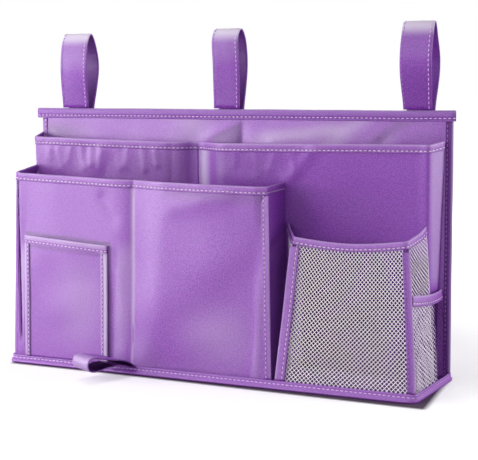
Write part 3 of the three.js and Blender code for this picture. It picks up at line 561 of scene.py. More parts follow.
def set_shade(piece, tone_of):
    """Stores the painted light and shade of each point, from -1, painted light, to 1, painted deep
    shade.
    """
    layer = piece.data.attributes.new("shade", "FLOAT", "POINT")
    for vertex in piece.data.vertices:
        layer.data[vertex.index].value = clamp(tone_of(vertex), -1.0)


def dull_deep_faces(piece):
    """Gives faces with the deepest painted shade a cloth without gloss."""
    layer = piece.data.attributes.get("shade")
    if layer is None:
        return
    tones = [entry.value for entry in layer.data]
    deep = [
        face
        for face in piece.data.polygons
        if min(tones[index] for index in face.vertices) > deep_tone
    ]
    if deep:
        piece.data.materials.append(deep_cloth)
        for face in deep:
            face.material_index = 1


def finish_piece(piece, material, slot, body, *replaced):
    piece.data.materials.clear()
    piece.data.materials.append(material)
    dull_deep_faces(piece)
    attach(piece, body)
    if replaced:
        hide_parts(*replaced)


def sewn_cloth(node, place, columns, rows, shade=None, material=purple_cloth):
    piece = grid_piece(node + "_sewn", place, columns, rows)
    if shade:
        set_shade(piece, lambda vertex: shade(vertex.co.x / mm, vertex.co.z / mm))
    across = width_of(place)
    thicken(piece, cloth_thickness)
    finish_piece(piece, material, "cloth", "caddy", node)
    print(node, len(piece.data.polygons), "faces, cut", round(across, 3), "m wide")


print("cloth is", cloth_thickness, "m thick")

# %% [markdown]
# Tape is folded over each raw edge. A station on the edge knows the place, the direction into the
# cloth and the direction out of it. The tape's section runs down the front leaf, round the fold and
# down the back leaf. It is drawn in along its stitches and lifts a little at its free edge.

# %% Folded tape and its stitches
fold_steps = 6
leaf_steps = 6
stitch_share = 0.72
drawn_in = 0.3 * mm
tape_gap = 0.1 * mm
pinch_share = 0.16
edge_lift = 0.12 * mm
edge_wave = 0.25 * mm
stitch_rise = 0.12 * mm
# Painted shade along the stitch line and painted light along the fold of each tape.
seam_shade = 0.62
fold_pale = 0.22
stitch_length = 4.0 * mm
stitch_width = 1.05 * mm
stitch_height = 0.8 * mm
stitch_pitch = 5.6 * mm
stitch_tilt = 0.12
seam_shade_width = 1.1 * mm
fold_pale_width = 1.3 * mm
tape_wave_scale = 90
leaf_wave_scale = 300
stitch_wave_scale = 700
inner_share = 0.02
rim_step = 0.004
side_step = 0.01


def rim_stations(place, count):
    """Stations along the upper edge of a wall."""
    stations = []
    for k in range(count + 1):
        u = k / count
        at = place(u, 1.0)
        inward = (place(u, 1 - inner_share) - at).normalized()
        ahead = place(min(u + rim_step, 1.0), 1.0) - place(max(u - rim_step, 0.0), 1.0)
        stations.append((at, inward, ahead.cross(-inward).normalized()))
    return stations


def side_stations(place, count, at_left, high):
    """Stations up a side edge of a wall, as far as the share high."""
    stations = []
    edge, inner = (0.0, inner_share) if at_left else (1.0, 1 - inner_share)
    for k in range(count + 1):
        v = high * k / count
        at = place(edge, v)
        inward = (place(inner, v) - at).normalized()
        ahead = place(edge, min(v + side_step, 1.0)) - place(edge, max(v - side_step, 0.0))
        out = inward.cross(ahead) if at_left else ahead.cross(inward)
        stations.append((at, inward, out.normalized()))
    return stations


def one_stitch():
    """A short thread, sunk at both ends, along X."""
    bpy.ops.mesh.primitive_uv_sphere_add(segments=8, ring_count=6, radius=1)
    model = bpy.context.object
    size = Matrix.Diagonal((stitch_length / 2, stitch_width / 2, stitch_height / 2))
    corners = [size @ vertex.co for vertex in model.data.vertices]
    faces = [tuple(face.vertices) for face in model.data.polygons]
    bpy.data.objects.remove(model)
    return corners, faces


stitch_corners, stitch_faces = one_stitch()


def stitch_row(name, line, body, slot="binding", material=thread):
    """Stitches along a line of (place, outwards)."""
    points = []
    faces = []
    walked = 0.0
    due = stitch_pitch / 2
    for (a, out_a), (b, out_b) in zip(line, line[1:]):
        step = (b - a).length
        while step > 0 and due <= walked + step:
            share = (due - walked) / step
            centre = a.lerp(b, share)
            out = out_a.lerp(out_b, share).normalized()
            ahead = (b - a).normalized()
            side = out.cross(ahead).normalized()
            tilt = stitch_tilt * noise.noise(centre * stitch_wave_scale)
            ahead = (ahead + side * tilt).normalized()
            turned = Matrix((ahead, side, out)).transposed()
            first = len(points)
            points += [centre + turned @ corner for corner in stitch_corners]
            faces += [tuple(first + index for index in face) for face in stitch_faces]
            due += stitch_pitch
        walked += step
    mesh = bpy.data.meshes.new(name)
    mesh.from_pydata(points, [], faces)
    layer = mesh.uv_layers.new(name="UVMap")
    for loop in mesh.loops:
        place = mesh.vertices[loop.vertex_index].co
        layer.data[loop.index].uv = (place.x + place.y, place.z)
    mesh.shade_smooth()
    piece = bpy.data.objects.new(name, mesh)
    bpy.context.scene.collection.objects.link(piece)
    finish_piece(piece, material, slot, body)


def tape_section(width, half):
    """(aside, depth) round the fold of a tape, in metres."""

    def aside(depth):
        return half - drawn_in * bell(depth, stitch_share * width, pinch_share * width)

    depths = [half + (width - half) * k / leaf_steps for k in range(leaf_steps + 1)]
    turns = [math.pi * k / fold_steps for k in range(1, fold_steps)]
    front = [(aside(depth), depth) for depth in reversed(depths)]
    fold = [(half * math.cos(turn), half - half * math.sin(turn)) for turn in turns]
    return front + fold + [(-aside(depth), depth) for depth in depths]


def bound_rim(
    node, stations, width, held=cloth_thickness, material=purple_tape, seed=0.0, tone=0.0
):
    """A folded tape in place of its node, with a row of stitches on its front leaf."""
    section = tape_section(width, (held + tape_thickness) / 2 + tape_gap)
    count = len(stations) - 1
    stitch_depth = stitch_share * width

    def place(u, v):
        at, inward, out = stations[round(u * count)]
        aside, depth = section[round(v * (len(section) - 1))]
        free = max(depth / width - stitch_share, 0) / (1 - stitch_share)
        wave_at = Vector((at.x, at.z, 0)) * tape_wave_scale
        wave_at.z = seed + aside * leaf_wave_scale
        wave = edge_wave * noise.noise(wave_at)
        lift = math.copysign((edge_lift + wave) * free, aside)
        return at + out * (aside + lift) + inward * depth

    # Painted shade along the stitches, painted light along the fold, and the tone as painted light
    # over the whole tape.
    def tape_tone(vertex):
        depth = section[vertex.index // (count + 1)][1]
        seam = (seam_shade - tone) * bell(depth, stitch_depth, seam_shade_width)
        return tone + seam - fold_pale * bell(depth, 0, fold_pale_width)

    piece = grid_piece(node + "_folded", place, count, len(section) - 1)
    set_shade(piece, tape_tone)
    edit_mesh((bpy.ops.mesh.flip_normals, {}))
    thicken(piece, tape_thickness)
    finish_piece(piece, material, "binding", "caddy", node)
    rise = held / 2 + tape_thickness + stitch_rise
    line = [(at + inward * stitch_depth + out * rise, out) for at, inward, out in stations]
    sewn_with = shaded_thread if material in (shaded_tape, side_tape) else thread
    stitch_row(node + "_thread", line, "caddy", "binding", sewn_with)


print("one stitch has", len(stitch_faces), "faces")

# %% [markdown]
# The back panel is two cloths over two stiff boards. The front cloth lies almost flat, with slack
# folds under the hem where the seam between the boards draws it in. The rear cloth is drawn flat.

# %% Back panel
panel_left = -278
panel_right = 282
panel_top = 322
fold_seam_x = 16
seam_x = -45.0
inner_left = -276.2
inner_right = 280.3
lining_y = 50.6
cover_y = 54.8
stack_y = 52.7
seam_z = 5.7
panel_rim = 320.9
lining_grid = (200, 120)
cover_grid = (110, 60)
slack_folds = (
    # from, to, depth, width
    ((fold_seam_x - 4, 309), (-36, 286), 2.2, 5),
    ((-56, 308), (-96, 298), 1.0, 5),
    ((226, 313), (198, 286), -1.8, 8),
    ((60, 290), (130, 302), 1.2, 8),
)


def lining_push(x, z, v):
    """Slack that hangs forwards from the hem, so that it faces the lamp above."""
    dip = bell(x, seam_x, 30)
    crest = 278 + 4 * dip
    hanging = fade(z, 315, crest) * fade(z, crest - 74, crest) * (1 - 0.85 * dip)
    swell = 4.0 + 3.0 * bell(x, -40, 46) + 5.0 * bell(x, 80, 54) + 2.5 * bell(x, 210, 30)
    folds = creases(x, z, slack_folds) + ripple(x, z, 42, 2.0, 3.0)
    seam = 1 - 0.9 * math.exp(-abs(x - fold_seam_x) / 8)
    ends = fade(x, inner_left, -250) * fade(x, inner_right, 250)
    return max(hanging * seam * ends * (swell + folds), 0)


def lining_shade(x, z):
    """Painted shade under the fold from the seam and at the left end, painted light on the slack
    that faces the light, and painted bands of both on the right.
    """
    below_fold = (fold_seam_x - x) * 0.5 + (z - 309)
    fold = 0.47 * fade(below_fold, 2, -4) * fade(x, -40, -16) * fade(x, 17, 14)
    # Painted light on the slack that faces the lamp above.
    painted_light = 0.3 * bell(z - 0.1 * (x - 90), 293, 9) * fade(x, 18, 60) * fade(x, 165, 130)
    slant = x - 1.2 * (z - 300)
    aside = 0.35 * bell(slant, 212, 14) - 0.2 * bell(slant, 158, 16)
    left = 0.5 * fade(x, -180, -262) * fade(z, 314, 292) - 0.2 * bell(x, -55, 26)
    return fold - painted_light + aside + left


def cover_push(x, z, v):
    return ripple(x, z, 60, 0.35, 8.0) - 0.7 * math.exp(-abs(x - fold_seam_x) / 2.5)


def panel_wall(start_x, end_x, y, low, columns, push):
    lines = [plan_line([(start_x, y, z), (end_x, y, z)], [columns]) for z in (low, panel_rim)]
    return wall(*lines, push)


lining_place = panel_wall(inner_left, inner_right, lining_y, seam_z, lining_grid[0], lining_push)
sewn_cloth("back_lining", lining_place, *lining_grid, lining_shade)
cover_place = panel_wall(inner_right, inner_left, cover_y, 1.1, cover_grid[0], cover_push)
sewn_cloth("back_cover", cover_place, *cover_grid)

# %% [markdown]
# A wide tape closes the top over the ends of the webbing, and stands out past the sides with raw
# ends. Narrow tapes close the sides, the right one in a darker copy of the tape that paints its
# shade. All of them hold the whole stack of cloth and board.

# %% Hem and side tapes
stack_thickness = 5.4 * mm
hem_end = 284.4
hem_width = 12.5 * mm
side_width = 8 * mm
wander_scale = 14
hem_steps = 160
side_steps = 90
forwards = Vector((0, -1, 0))
down = Vector((0, 0, -1))


def straight_stations(start, end, count, inward, out, wander, seed):
    """Stations between two places in millimetres, with an edge that wanders a little."""
    stations = []
    for k in range(count + 1):
        at = (start * mm).lerp(end * mm, k / count)
        shift = wander * mm * noise.noise(Vector((at.x * wander_scale, at.z * wander_scale, seed)))
        stations.append((at - inward * shift, inward, out))
    return stations


hem_ends = [Vector((x, stack_y, panel_top)) for x in (-hem_end, hem_end)]
hem_stations = straight_stations(*hem_ends, hem_steps, down, forwards, 0.5, 0.0)
# The hem takes the darker webbing cloth as painted shade, and its tone adds a little painted light.
bound_rim("top_hem", hem_stations, hem_width, stack_thickness, webbing, seed=1.0, tone=-0.08)
for side, sign, x, tape in (
    ("left", -1, panel_left, purple_tape),
    ("right", 1, panel_right, shaded_tape),
):
    ends = [Vector((x, stack_y, z)) for z in (10.3, 309.2)[::sign]]
    inward = Vector((-sign, 0, 0))
    stations = straight_stations(*ends, side_steps, inward, forwards, 0.4, 2.0 + sign)
    bound_rim(side + "_side_binding", stations, side_width, stack_thickness, tape, seed=3.0 + sign)
print("hem and sides taped")

# %% [markdown]
# The base is a flat sandwich of cloth, board and lining. One tape runs round it: a soft leaf
# outside the walls, which flares most in front, and a foot turned in under them. Its section
# follows the outline of the base, drawn in or out.

# %% Base
base_front = -56.5
base_rear = 56.5
front_left_x = -266
front_right_x = 271
front_bend = 6
base_counts = [12, 80, 12, 40]
base_swell = 0.25 * mm
base_wave_scale = 30
base_merge = 0.02 * mm
plate_merge = 0.01 * mm
plate_flat = math.radians(2)
plate_edge = 0.3 * mm
base_section = [
    (2.6, 0.35), (0.4, 0.25), (-2.2, 0.3), (-3.8, 0.9), (-4.2, 1.9), (-3.5, 3.2),
    (-2.1, 4.5), (-0.9, 5.6), (-0.3, 6.6), (-0.2, 7.8), (-0.1, 9.0), (0.2, 9.8), (0.7, 10.0),
]


def base_outline(inset, z):
    """The outline of the base drawn in by inset, closed, in metres. It flares most in front."""
    aside = max(inset, inset * 0.3)
    corners = [
        (panel_left + aside, base_rear - aside, z),
        (front_left_x + aside, base_front + inset, z, front_bend - inset * 0.6),
        (front_right_x - aside, base_front + inset, z, front_bend - min(inset, 0) * 2.2),
        (panel_right - aside, base_rear - aside, z, 1.5),
        (panel_left + aside, base_rear - aside, z),
    ]
    return plan_line(corners, base_counts)


def base_tape():
    rings = [base_outline(inset, z) for inset, z in base_section]
    count = len(rings[0]) - 1

    def place(u, v):
        at = rings[round(v * (len(rings) - 1))][round(u * count)]
        wave_at = Vector((at.x * base_wave_scale, at.y * base_wave_scale, v * 2))
        return at + Vector((0, 0, base_swell * noise.noise(wave_at) * v))

    piece = grid_piece("base_binding_folded", place, count, len(rings) - 1)
    edit_mesh((bpy.ops.mesh.remove_doubles, {"threshold": base_merge}))
    thicken(piece, tape_thickness)
    finish_piece(piece, purple_tape, "binding", "caddy", "base_binding")
    ring = base_outline(-0.8, 6.6)
    line = []
    for at, behind, following in zip(ring, ring[:1] + ring, ring[1:] + ring[-1:]):
        ahead = following - behind
        line.append((at, Vector((ahead.y, -ahead.x, 0)).normalized()))
    stitch_row("base_binding_thread", line, "caddy")


def plate_copy(node, name, shade=None):
    """A flat cloth that keeps the outline of its node, with softened edges and a UV map in plan."""
    piece = nodes[node].copy()
    piece.data = nodes[node].data.copy()
    bpy.context.scene.collection.objects.link(piece)
    for key in list(piece.keys()):
        del piece[key]
    piece.parent = None
    piece.name = name
    make_active(piece)
    edit_mesh(
        (bpy.ops.mesh.remove_doubles, {"threshold": plate_merge}),
        (bpy.ops.mesh.dissolve_limited, {"angle_limit": plate_flat}),
    )
    edge = piece.modifiers.new("Soft edge", "BEVEL")
    edge.width = plate_edge
    edge.segments = 2
    apply_all(piece)
    while piece.data.uv_layers:
        piece.data.uv_layers.remove(piece.data.uv_layers[0])
    layer = piece.data.uv_layers.new(name="UVMap")
    lowest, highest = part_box(node)
    size = highest - lowest
    flat_axis = min(range(3), key=lambda axis: size[axis])
    across, upward = [axis for axis in range(3) if axis != flat_axis]
    for loop in piece.data.loops:
        at = piece.data.vertices[loop.vertex_index].co
        layer.data[loop.index].uv = (at[across], at[upward])
    if shade:
        set_shade(piece, shade)
    return piece


def floor_shade(vertex):
    """Painted shade in the right half, which the net pocket closes off."""
    return 0.85 if vertex.co.x > 0 else 0.0


base_tape()
for node, shade in (("base_panel", None), ("base_lining", floor_shade)):
    piece = plate_copy(node, node + "_sewn", shade)
    finish_piece(piece, purple_cloth, "cloth", "caddy", node)
    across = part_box(node)[1][0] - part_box(node)[0][0]
print("base closed")

# %% [markdown]
# The two tall pockets stand in front of the panel. Each folds back to the side tape at its outer
# end, and dips back to the seam between them, so that one side of the seam turns from the light and
# the other towards it. The tape gathers the cloth below it into small puckers.

# %% Tall pockets
middle_y = 26.0
dip_y = 48.0
rear_end_y = 47.6
middle_tape = 10 * mm
cut_back = down * 1.2 * mm
wall_rows = 84
gathers_left = (-252, -238, -219, -204, -189, -173, -152, -134, -113, -96)
gathers_right = (16, 44, 70, 92)
left_folds = (((-172, 272), (-196, 236), 1.2, 12), ((-150, 266), (-172, 232), -0.9, 12))
right_folds = (
    ((88, 240), (120, 276), 1.6, 8),
    ((84, 238), (40, 262), 0.9, 11),
    ((80, 232), (0, 244), 0.8, 11),
)


def puckers(x, z, places, rim, depth):
    """Short folds that hang from a gathered rim."""
    rows = []
    for index, place in enumerate(places):
        lean = 6 * math.sin(index * 2.4)
        end = rim - 26 - 12 * abs(math.sin(index * 1.7))
        depth_here = depth * (1 + 0.4 * math.sin(index * 5))
        rows.append(((place, rim - 10), (place + lean, end), depth_here, 4.2))
    return creases(x, z, rows)


def left_pocket_push(x, z, v):
    flat = fade(x, -273, -262) * fade(x, -60, -74)
    turned = 8 * max((x + 160) / 100, 0) ** 2 * fade(x, -58, -76)
    gathered = puckers(x, z, gathers_left, 283, 1.0) * fade(z, 280, 274)
    waves = ripple(x, z, 55, 1.8, 11.0) * fade(z, 20, 120) * fade(z, 284, 268)
    return flat * (gathered + creases(x, z, left_folds) + waves) - turned


def right_pocket_push(x, z, v):
    flat = fade(x, -20, 0) * fade(x, 259, 248)
    turned = 3 * max((60 - x) / 90, 0) ** 2 * fade(x, -38, 5)
    gathered = puckers(x, z, gathers_right, 281, 0.9) * fade(z, 278, 272)
    folds = creases(x, z, right_folds) + slope(x, z, (70, 180), (150, 270), 1.6, 20)
    waves = ripple(x, z, 60, 2.6, 17.0) * fade(z, 20, 120) * fade(z, 282, 266)
    return flat * (gathered + folds + waves) - turned


def left_pocket_shade(x, z):
    """Painted shade, darker towards the seam and the front pocket."""
    towards = fade(x + (270 - z) * 1.2, -150, -80)
    return 0.2 * towards * fade(z, 274, 262) * fade(x, -58, -66)


def right_pocket_shade(x, z):
    """Painted shade behind the net pocket, beside the front pocket's corner and in a band above it;
    painted light by the seam and on the side above the side pocket.
    """
    if x > 261:
        return 0.96 * fade(z, 112, 96) - 0.2 * fade(z, 112, 130) * fade(x, 261, 264)
    net = 0.95 * fade(x, 92, 108) * fade(z, 178, 140) * (1 - 0.25 * fade(x, 150, 240))
    corner = 0.25 * bell(x, 96, 20) * fade(z, 250, 215)
    above = 0.2 * bell(x, -6, 18) + 0.12 * bell(x, 48, 26)
    cloth = corner + above * fade(z, 215, 235) * fade(z, 274, 262) - 0.45 * bell(x, -34, 10)
    return max(net, cloth) if x > 90 else cloth


def left_pocket_line(fold_x, heights):
    corners = [
        (-275.3, rear_end_y, heights[0]),
        (fold_x, middle_y, heights[1], 3),
        (seam_x - 27, middle_y, heights[2], 14),
        (seam_x - 7, dip_y, heights[3], 7),
        (seam_x - 0.2, dip_y, heights[4]),
    ]
    return plan_line(corners, [6, 56, 4, 2])


def right_pocket_line(rear_x, heights):
    corners = [
        (seam_x + 0.2, dip_y, heights[0]),
        (seam_x + 7, dip_y, heights[1], 7),
        (seam_x + 37, middle_y, heights[2], 16),
        (260.5, middle_y, heights[3], 3),
        (rear_x, rear_end_y, heights[4]),
    ]
    return plan_line(corners, [2, 4, 76, 8])


def cut_wall(lower, upper, push, first=0, last=None):
    """A part of a wall, cut a little lower than its line so that the tape can fold over it."""
    end = len(lower) if last is None else last + 1
    return wall(lower[first:end], [point + cut_back for point in upper[first:end]], push)


low_seam = (seam_z,) * 5
left_lines = (
    left_pocket_line(-273.1, low_seam),
    left_pocket_line(-274.5, (291, 285.6, 281, 281, 281)),
)
right_lines = (
    right_pocket_line(264, low_seam),
    right_pocket_line(273, (281, 281, 281, 283.6, 287)),
)
# The right pocket takes the copy of the cloth with painted shade.
for side, lines, push, shade, cloth, seed in (
    ("left", left_lines, left_pocket_push, left_pocket_shade, purple_cloth, 21.0),
    ("right", right_lines, right_pocket_push, right_pocket_shade, shaded_cloth, 23.0),
):
    name = "middle_%s_" % side
    columns = len(lines[0]) - 1
    sewn_cloth(name + "pocket", cut_wall(*lines, push), columns, wall_rows, shade, cloth)
    stations = rim_stations(wall(*lines, push), columns)
    bound_rim(name + "top_binding", stations, middle_tape, seed=seed)

# %% [markdown]
# The front pocket is three cloths along one line in plan: a gusset folded round the left corner,
# the face, and a gusset on the right in painted shade. The divider behind is sewn through the face,
# which draws it into a valley: the cloth left of the seam turns from the window and the cloth right
# of it faces it.

# %% Front pocket
front_low_y = -54.8
front_top_y = -26.3
front_rim = 234.5
wall_rim = 10.3
low_edge = 1.1
pocket_rear_y = 24.1
front_tape = 10 * mm
corner_width = 8 * mm
lean = (front_top_y - front_low_y) / (front_rim - wall_rim)
front_normal = Vector((0, -1, lean)).normalized()
gusset_columns = 14
corner_steps = 60
front_low = [
    (-272.9, pocket_rear_y, low_edge),
    (-264.6, front_low_y, low_edge, 6),
    (-246, front_low_y, low_edge, 0),
    (-118, front_low_y, low_edge, 0),
    (-68, front_low_y, low_edge, 0),
    (92.4, front_low_y, low_edge, 2.4),
    (85, pocket_rear_y, low_edge),
]
front_high = [
    (-272.4, pocket_rear_y, 248.5),
    (-272, front_top_y - 1.0, 242.6, 7),
    (-252, front_top_y - 0.9, 241.7, 0),
    (-128, front_top_y - 0.4, 237.7, 0),
    (-78, front_top_y - 0.2, 236.5, 0),
    (78.5, front_top_y, 234.5, 2.4),
    (82, pocket_rear_y, 235.5),
]
front_folds = (
    ((-262, 60), (-250, 18), 1.2, 7),
    ((-112, 120), (-104, 30), 1.2, 9),
    ((-40, 206), (30, 222), 1.6, 12),
    ((-140, 214), (-124, 190), -1.4, 9),
)


def height_share(z):
    return max(z - wall_rim, 0) / (front_rim - wall_rim)


def divider_x(z):
    return -91 - 10 * height_share(z)


def valley(x, z):
    """How far the seam of the divider draws the face back, in millimetres."""
    away = x - divider_x(z)
    reach = 32 if away > 0 else 10
    return 6.0 * min(height_share(z), 1.1) ** 0.4 * math.exp(-abs(away) / reach)


def front_face_y(x, z):
    return front_low_y + max(z - wall_rim, 0) * lean + valley(x, z)


def corner_groove(z):
    """Where the crease between the left gusset and the face runs."""
    return -253.5 - 15 * (z - 35) / 200


def front_push(x, z, v):
    on_face = fade(x, -266, -250) * fade(x, 80, 66)
    lower = fade(z, 12, 60)
    waves = ripple(x, z, 70, 2.6, 31.0) * lower
    swell = 2.4 * math.sin(math.pi * clamp((x + 90) / 170)) * lower
    folds = creases(x, z, front_folds)
    if x > divider_x(z):
        folds += slope(x, z, (-73, 22), (23, 115), 3.4, 26) * fade(x, -88, -50)
    tuck = 3.2 * fade(z, 22, 45) * bell(x, corner_groove(z), 1.8)
    return on_face * (waves + swell + folds) - valley(x, z) - tuck


# Painted shade in the crease between the left gusset and the face.
def groove_shade(x, z):
    return 0.95 * fade(z, 18, 40) * bell(x, corner_groove(z), 1.7)


def front_shade(x, z):
    """Painted shade in the left corner's groove, beside and above the phone pocket, at the right
    corner, under the rim and low by the seam; painted light along the seam and in patches.
    """
    seam = -0.42 * bell(x, divider_x(z) - 0.2, 2.1)
    gap = -0.14 * fade(x, -121, -115) * fade(x, -94, -102) * fade(z, 170, 140)
    corner = 0.3 * bell(x, 78, 7) * (1 - fade(z, 60, 150) * fade(z, 205, 180))
    corner += 0.3 * fade(x, -75, -20) * fade(z, 208, 224)
    low = 0.2 * bell(x, divider_x(z) + 16, 26) * fade(z, 70, 20)
    pale = 0.16 * bell(x, 25, 45) * bell(z, 55, 34)
    beside = above = strip = 0.0
    if z < 156:
        beside = 0.7 * bell(x, -121.5 - 7 * z / 155, 1.8)
    if -254 < x < -127:
        above = 0.8 * bell(z, 165.5 - 8 * (x + 252) / 121, 1.8)
    if x > corner_groove(z) + 3:
        strip = 0.25 * fade(x, -246, -254) * fade(z, 165, 130)
    return groove_shade(x, z) + seam + gap + corner + low - pale + beside + above - strip


# Painted shade on the right gusset, deeper towards the bottom.
def right_gusset_shade(x, z):
    return 0.42 * fade(z, 232, 130)


def corner_tape(node, sign, low, high, leaning, width, held, wander, tape, seed):
    """A tape up a pocket's front corner from low (x, y, z) to high (x, z), folded outwards."""
    y, z = low[1:]
    ends = [Vector(low), Vector((high[0], y + (high[1] - z) * leaning, high[1]))][::sign]
    out = Vector((0, -1, leaning)).normalized()
    inward = Vector((-sign, 0, 0))
    stations = straight_stations(*ends, corner_steps, inward, out, wander, seed)
    bound_rim(node, stations, width, held, tape, seed=seed)


front_counts = [gusset_columns, 16, 64, 26, 44, gusset_columns]
front_lines = [plan_line(corners, front_counts) for corners in (front_low, front_high)]
front_columns = len(front_lines[0]) - 1
left_end = gusset_columns + bend_steps
face_end = front_columns - left_end
right_start = front_columns - gusset_columns
for node, first, last, shade, cloth in (
    ("front_left_gusset", 0, left_end, groove_shade, purple_cloth),
    ("front_pocket_panel", left_end, face_end, front_shade, purple_cloth),
    ("front_right_gusset", right_start, front_columns, right_gusset_shade, shaded_cloth),
):
    place = cut_wall(*front_lines, front_push, first, last)
    sewn_cloth(node, place, last - first, wall_rows, shade, cloth)
front_place = wall(*front_lines, front_push)
bound_rim("front_top_binding", rim_stations(front_place, front_columns), front_tape, seed=33.0)
low_corner = (95.4, front_low_y, wall_rim)
front_edge = (1, low_corner, (82.2, 224), lean, corner_width, cloth_thickness, 0.6)
corner_tape("front_edge_binding", *front_edge, purple_tape, 41.0)

# %% [markdown]
# The divider runs back from the seam in the face to the tall pocket. Its bound top edge is the
# small piece that peeks over the rim of the front pocket.

# %% Divider
divider_low = [(-91, front_low_y + 2.2, seam_z), (-86, pocket_rear_y, seam_z)]
divider_high = [(-101, front_top_y + 6.6, 231), (-86, pocket_rear_y, 232)]
divider_lines = [[Vector(at) * mm for at in line] for line in (divider_low, divider_high)]
sewn_cloth("pocket_divider", cut_wall(*divider_lines, None), 20, 60)
bound_rim("divider_binding", rim_stations(wall(*divider_lines), 24), 9 * mm, seed=51.0)

# %% [markdown]
# The phone pocket is a patch on the face with tape on three sides. Its mouth stands a little open,
# with a painted shadow above its rim. Painted shade runs along the inner edges of its tapes, and
# the tapes carry painted light.

# %% Phone pocket
phone_columns = 46
phone_lift = 2.6
phone_mouth = 3.5


def phone_place(u, v):
    left = -244 - 8 * v
    right_edge = -124 - 7 * v
    x = left + (right_edge - left) * u
    z = wall_rim + (163 - 8 * u - wall_rim) * v
    open_mouth = phone_mouth * math.sin(math.pi * u) ** 0.8 * v**3
    waves = 1.6 * noise.noise(Vector((x / 50, z / 50, 61.0))) * math.sin(math.pi * u)
    at = Vector((x, front_face_y(x, z), z))
    return (at + front_normal * (phone_lift + open_mouth + waves)) * mm


def phone_cloth(u, v):
    """The cloth ends inside the folds of its tapes."""
    return phone_place(0.009 + 0.982 * u, 0.992 * v)


def phone_shade(x, z):
    """Painted shade along the inner edges of the tapes, painted light in the middle of the patch.
    """
    beside = 0.7 * bell(x, -236.1 - 8 * z / 160, 1.5)
    below = 0.45 * bell(z, 151 - 8 * (x + 252) / 121, 1.6)
    return beside + below - 0.16 * bell(x, -165, 30) * bell(z, 85, 50)


sewn_cloth("phone_pocket", phone_cloth, 72, wall_rows, phone_shade)
# The last column is painted light on each tape.
for node, stations, width, seed, tone in (
    ("phone_left_binding", side_stations(phone_place, 50, True, 0.94)[::-1], 7, 63.0, -0.28),
    ("phone_right_binding", side_stations(phone_place, 50, False, 0.94), 8, 65.0, -0.5),
    ("phone_top_binding", rim_stations(phone_place, phone_columns), 10, 67.0, -0.22),
):
    bound_rim(node, stations, width * mm, seed=seed, tone=tone)
print("front pocket dressed")

# %% [markdown]
# A knitted net is a lattice of yarn round diamond gaps. The grid is poked, so that each square has
# a centre, and the old square edges are dissolved, which leaves diamonds. The Wireframe modifier
# then turns each edge into a strand of yarn. All this happens flat. Last, the strands are pressed
# flatter and laid onto the wall.

# %% Nets
net_gap = 5.15
yarn = 0.84 * mm
yarn_flatness = 0.45
near_share = 0.2
net_border = 0.001
net_step = 0.01


def net_piece(node, place, width, height, stretched=1.0, material=net_yarn, shade=None):
    columns = max(4, round(width / (net_gap * stretched)))
    rows = max(4, round(height / net_gap))
    piece = grid_piece(node + "_knit", lambda u, v: Vector((u, v, 0)), columns, rows)
    edit_mesh(
        (bpy.ops.mesh.poke, {}),
        (bpy.ops.mesh.select_all, {"action": "DESELECT"}),
    )
    mesh = piece.data
    for edge in mesh.edges:
        a, b = (mesh.vertices[index].co for index in edge.vertices)
        square = abs(a.x - b.x) < near_share / columns or abs(a.y - b.y) < near_share / rows
        middle = (a + b) / 2
        inside = all(net_border < share < 1 - net_border for share in middle[:2])
        edge.select = square and inside
    bpy.ops.object.mode_set(mode="EDIT")
    bpy.ops.mesh.select_mode(type="EDGE")
    bpy.ops.mesh.dissolve_edges(use_verts=False)
    bpy.ops.mesh.select_mode(type="VERT")
    bpy.ops.object.mode_set(mode="OBJECT")
    for vertex in mesh.vertices:
        vertex.co = Vector((vertex.co.x * width, vertex.co.y * height, 0)) * mm
    strands = piece.modifiers.new("Strands", "WIREFRAME")
    strands.thickness = yarn
    strands.use_even_offset = True
    strands.use_boundary = True
    apply_all(piece)
    for vertex in piece.data.vertices:
        u = vertex.co.x / (width * mm)
        v = vertex.co.y / (height * mm)
        across = place(min(u + net_step, 1.0), v) - place(max(u - net_step, 0.0), v)
        upwards = place(u, min(v + net_step, 1.0)) - place(u, max(v - net_step, 0.0))
        depth = vertex.co.z * yarn_flatness
        vertex.co = place(u, v) + across.cross(upwards).normalized() * depth
    if shade:
        set_shade(piece, shade)
    finish_piece(piece, material, "net", "caddy", node)
    print(node, columns, "by", rows, "gaps,", len(piece.data.polygons), "faces")


print("yarn is", yarn, "m thick")

# %% [markdown]
# The net pocket flares from its rim to the base. Its rim tape is drawn up at both rear ends and
# sags in front, and its corners are bound. The net behind the corner tapes folds back to the tall
# pocket.

# %% Net pocket
mesh_front_low_y = -54.9
mesh_top_y = -20.0
mesh_tape = 9 * mm
net_held = 1.0 * mm
mesh_side_columns = 14
mesh_front_columns = 48
mesh_tape_top = 165
mesh_lean = (mesh_top_y - mesh_front_low_y) / (176 - wall_rim)
mesh_low = [
    (90, pocket_rear_y, seam_z),
    (101.5, mesh_front_low_y, seam_z, 2.4),
    (266, mesh_front_low_y, seam_z, 2.4),
    (268, 33, seam_z),
]
mesh_high = [
    (87, pocket_rear_y, 183),
    (111.5, mesh_top_y, 176, 5),
    (248.5, mesh_top_y, 177, 5),
    (258.6, pocket_rear_y, 186),
]


def mesh_push(x, z, v):
    return ripple(x, z, 40, 1.6, 71.0) * math.sin(math.pi * clamp(v))


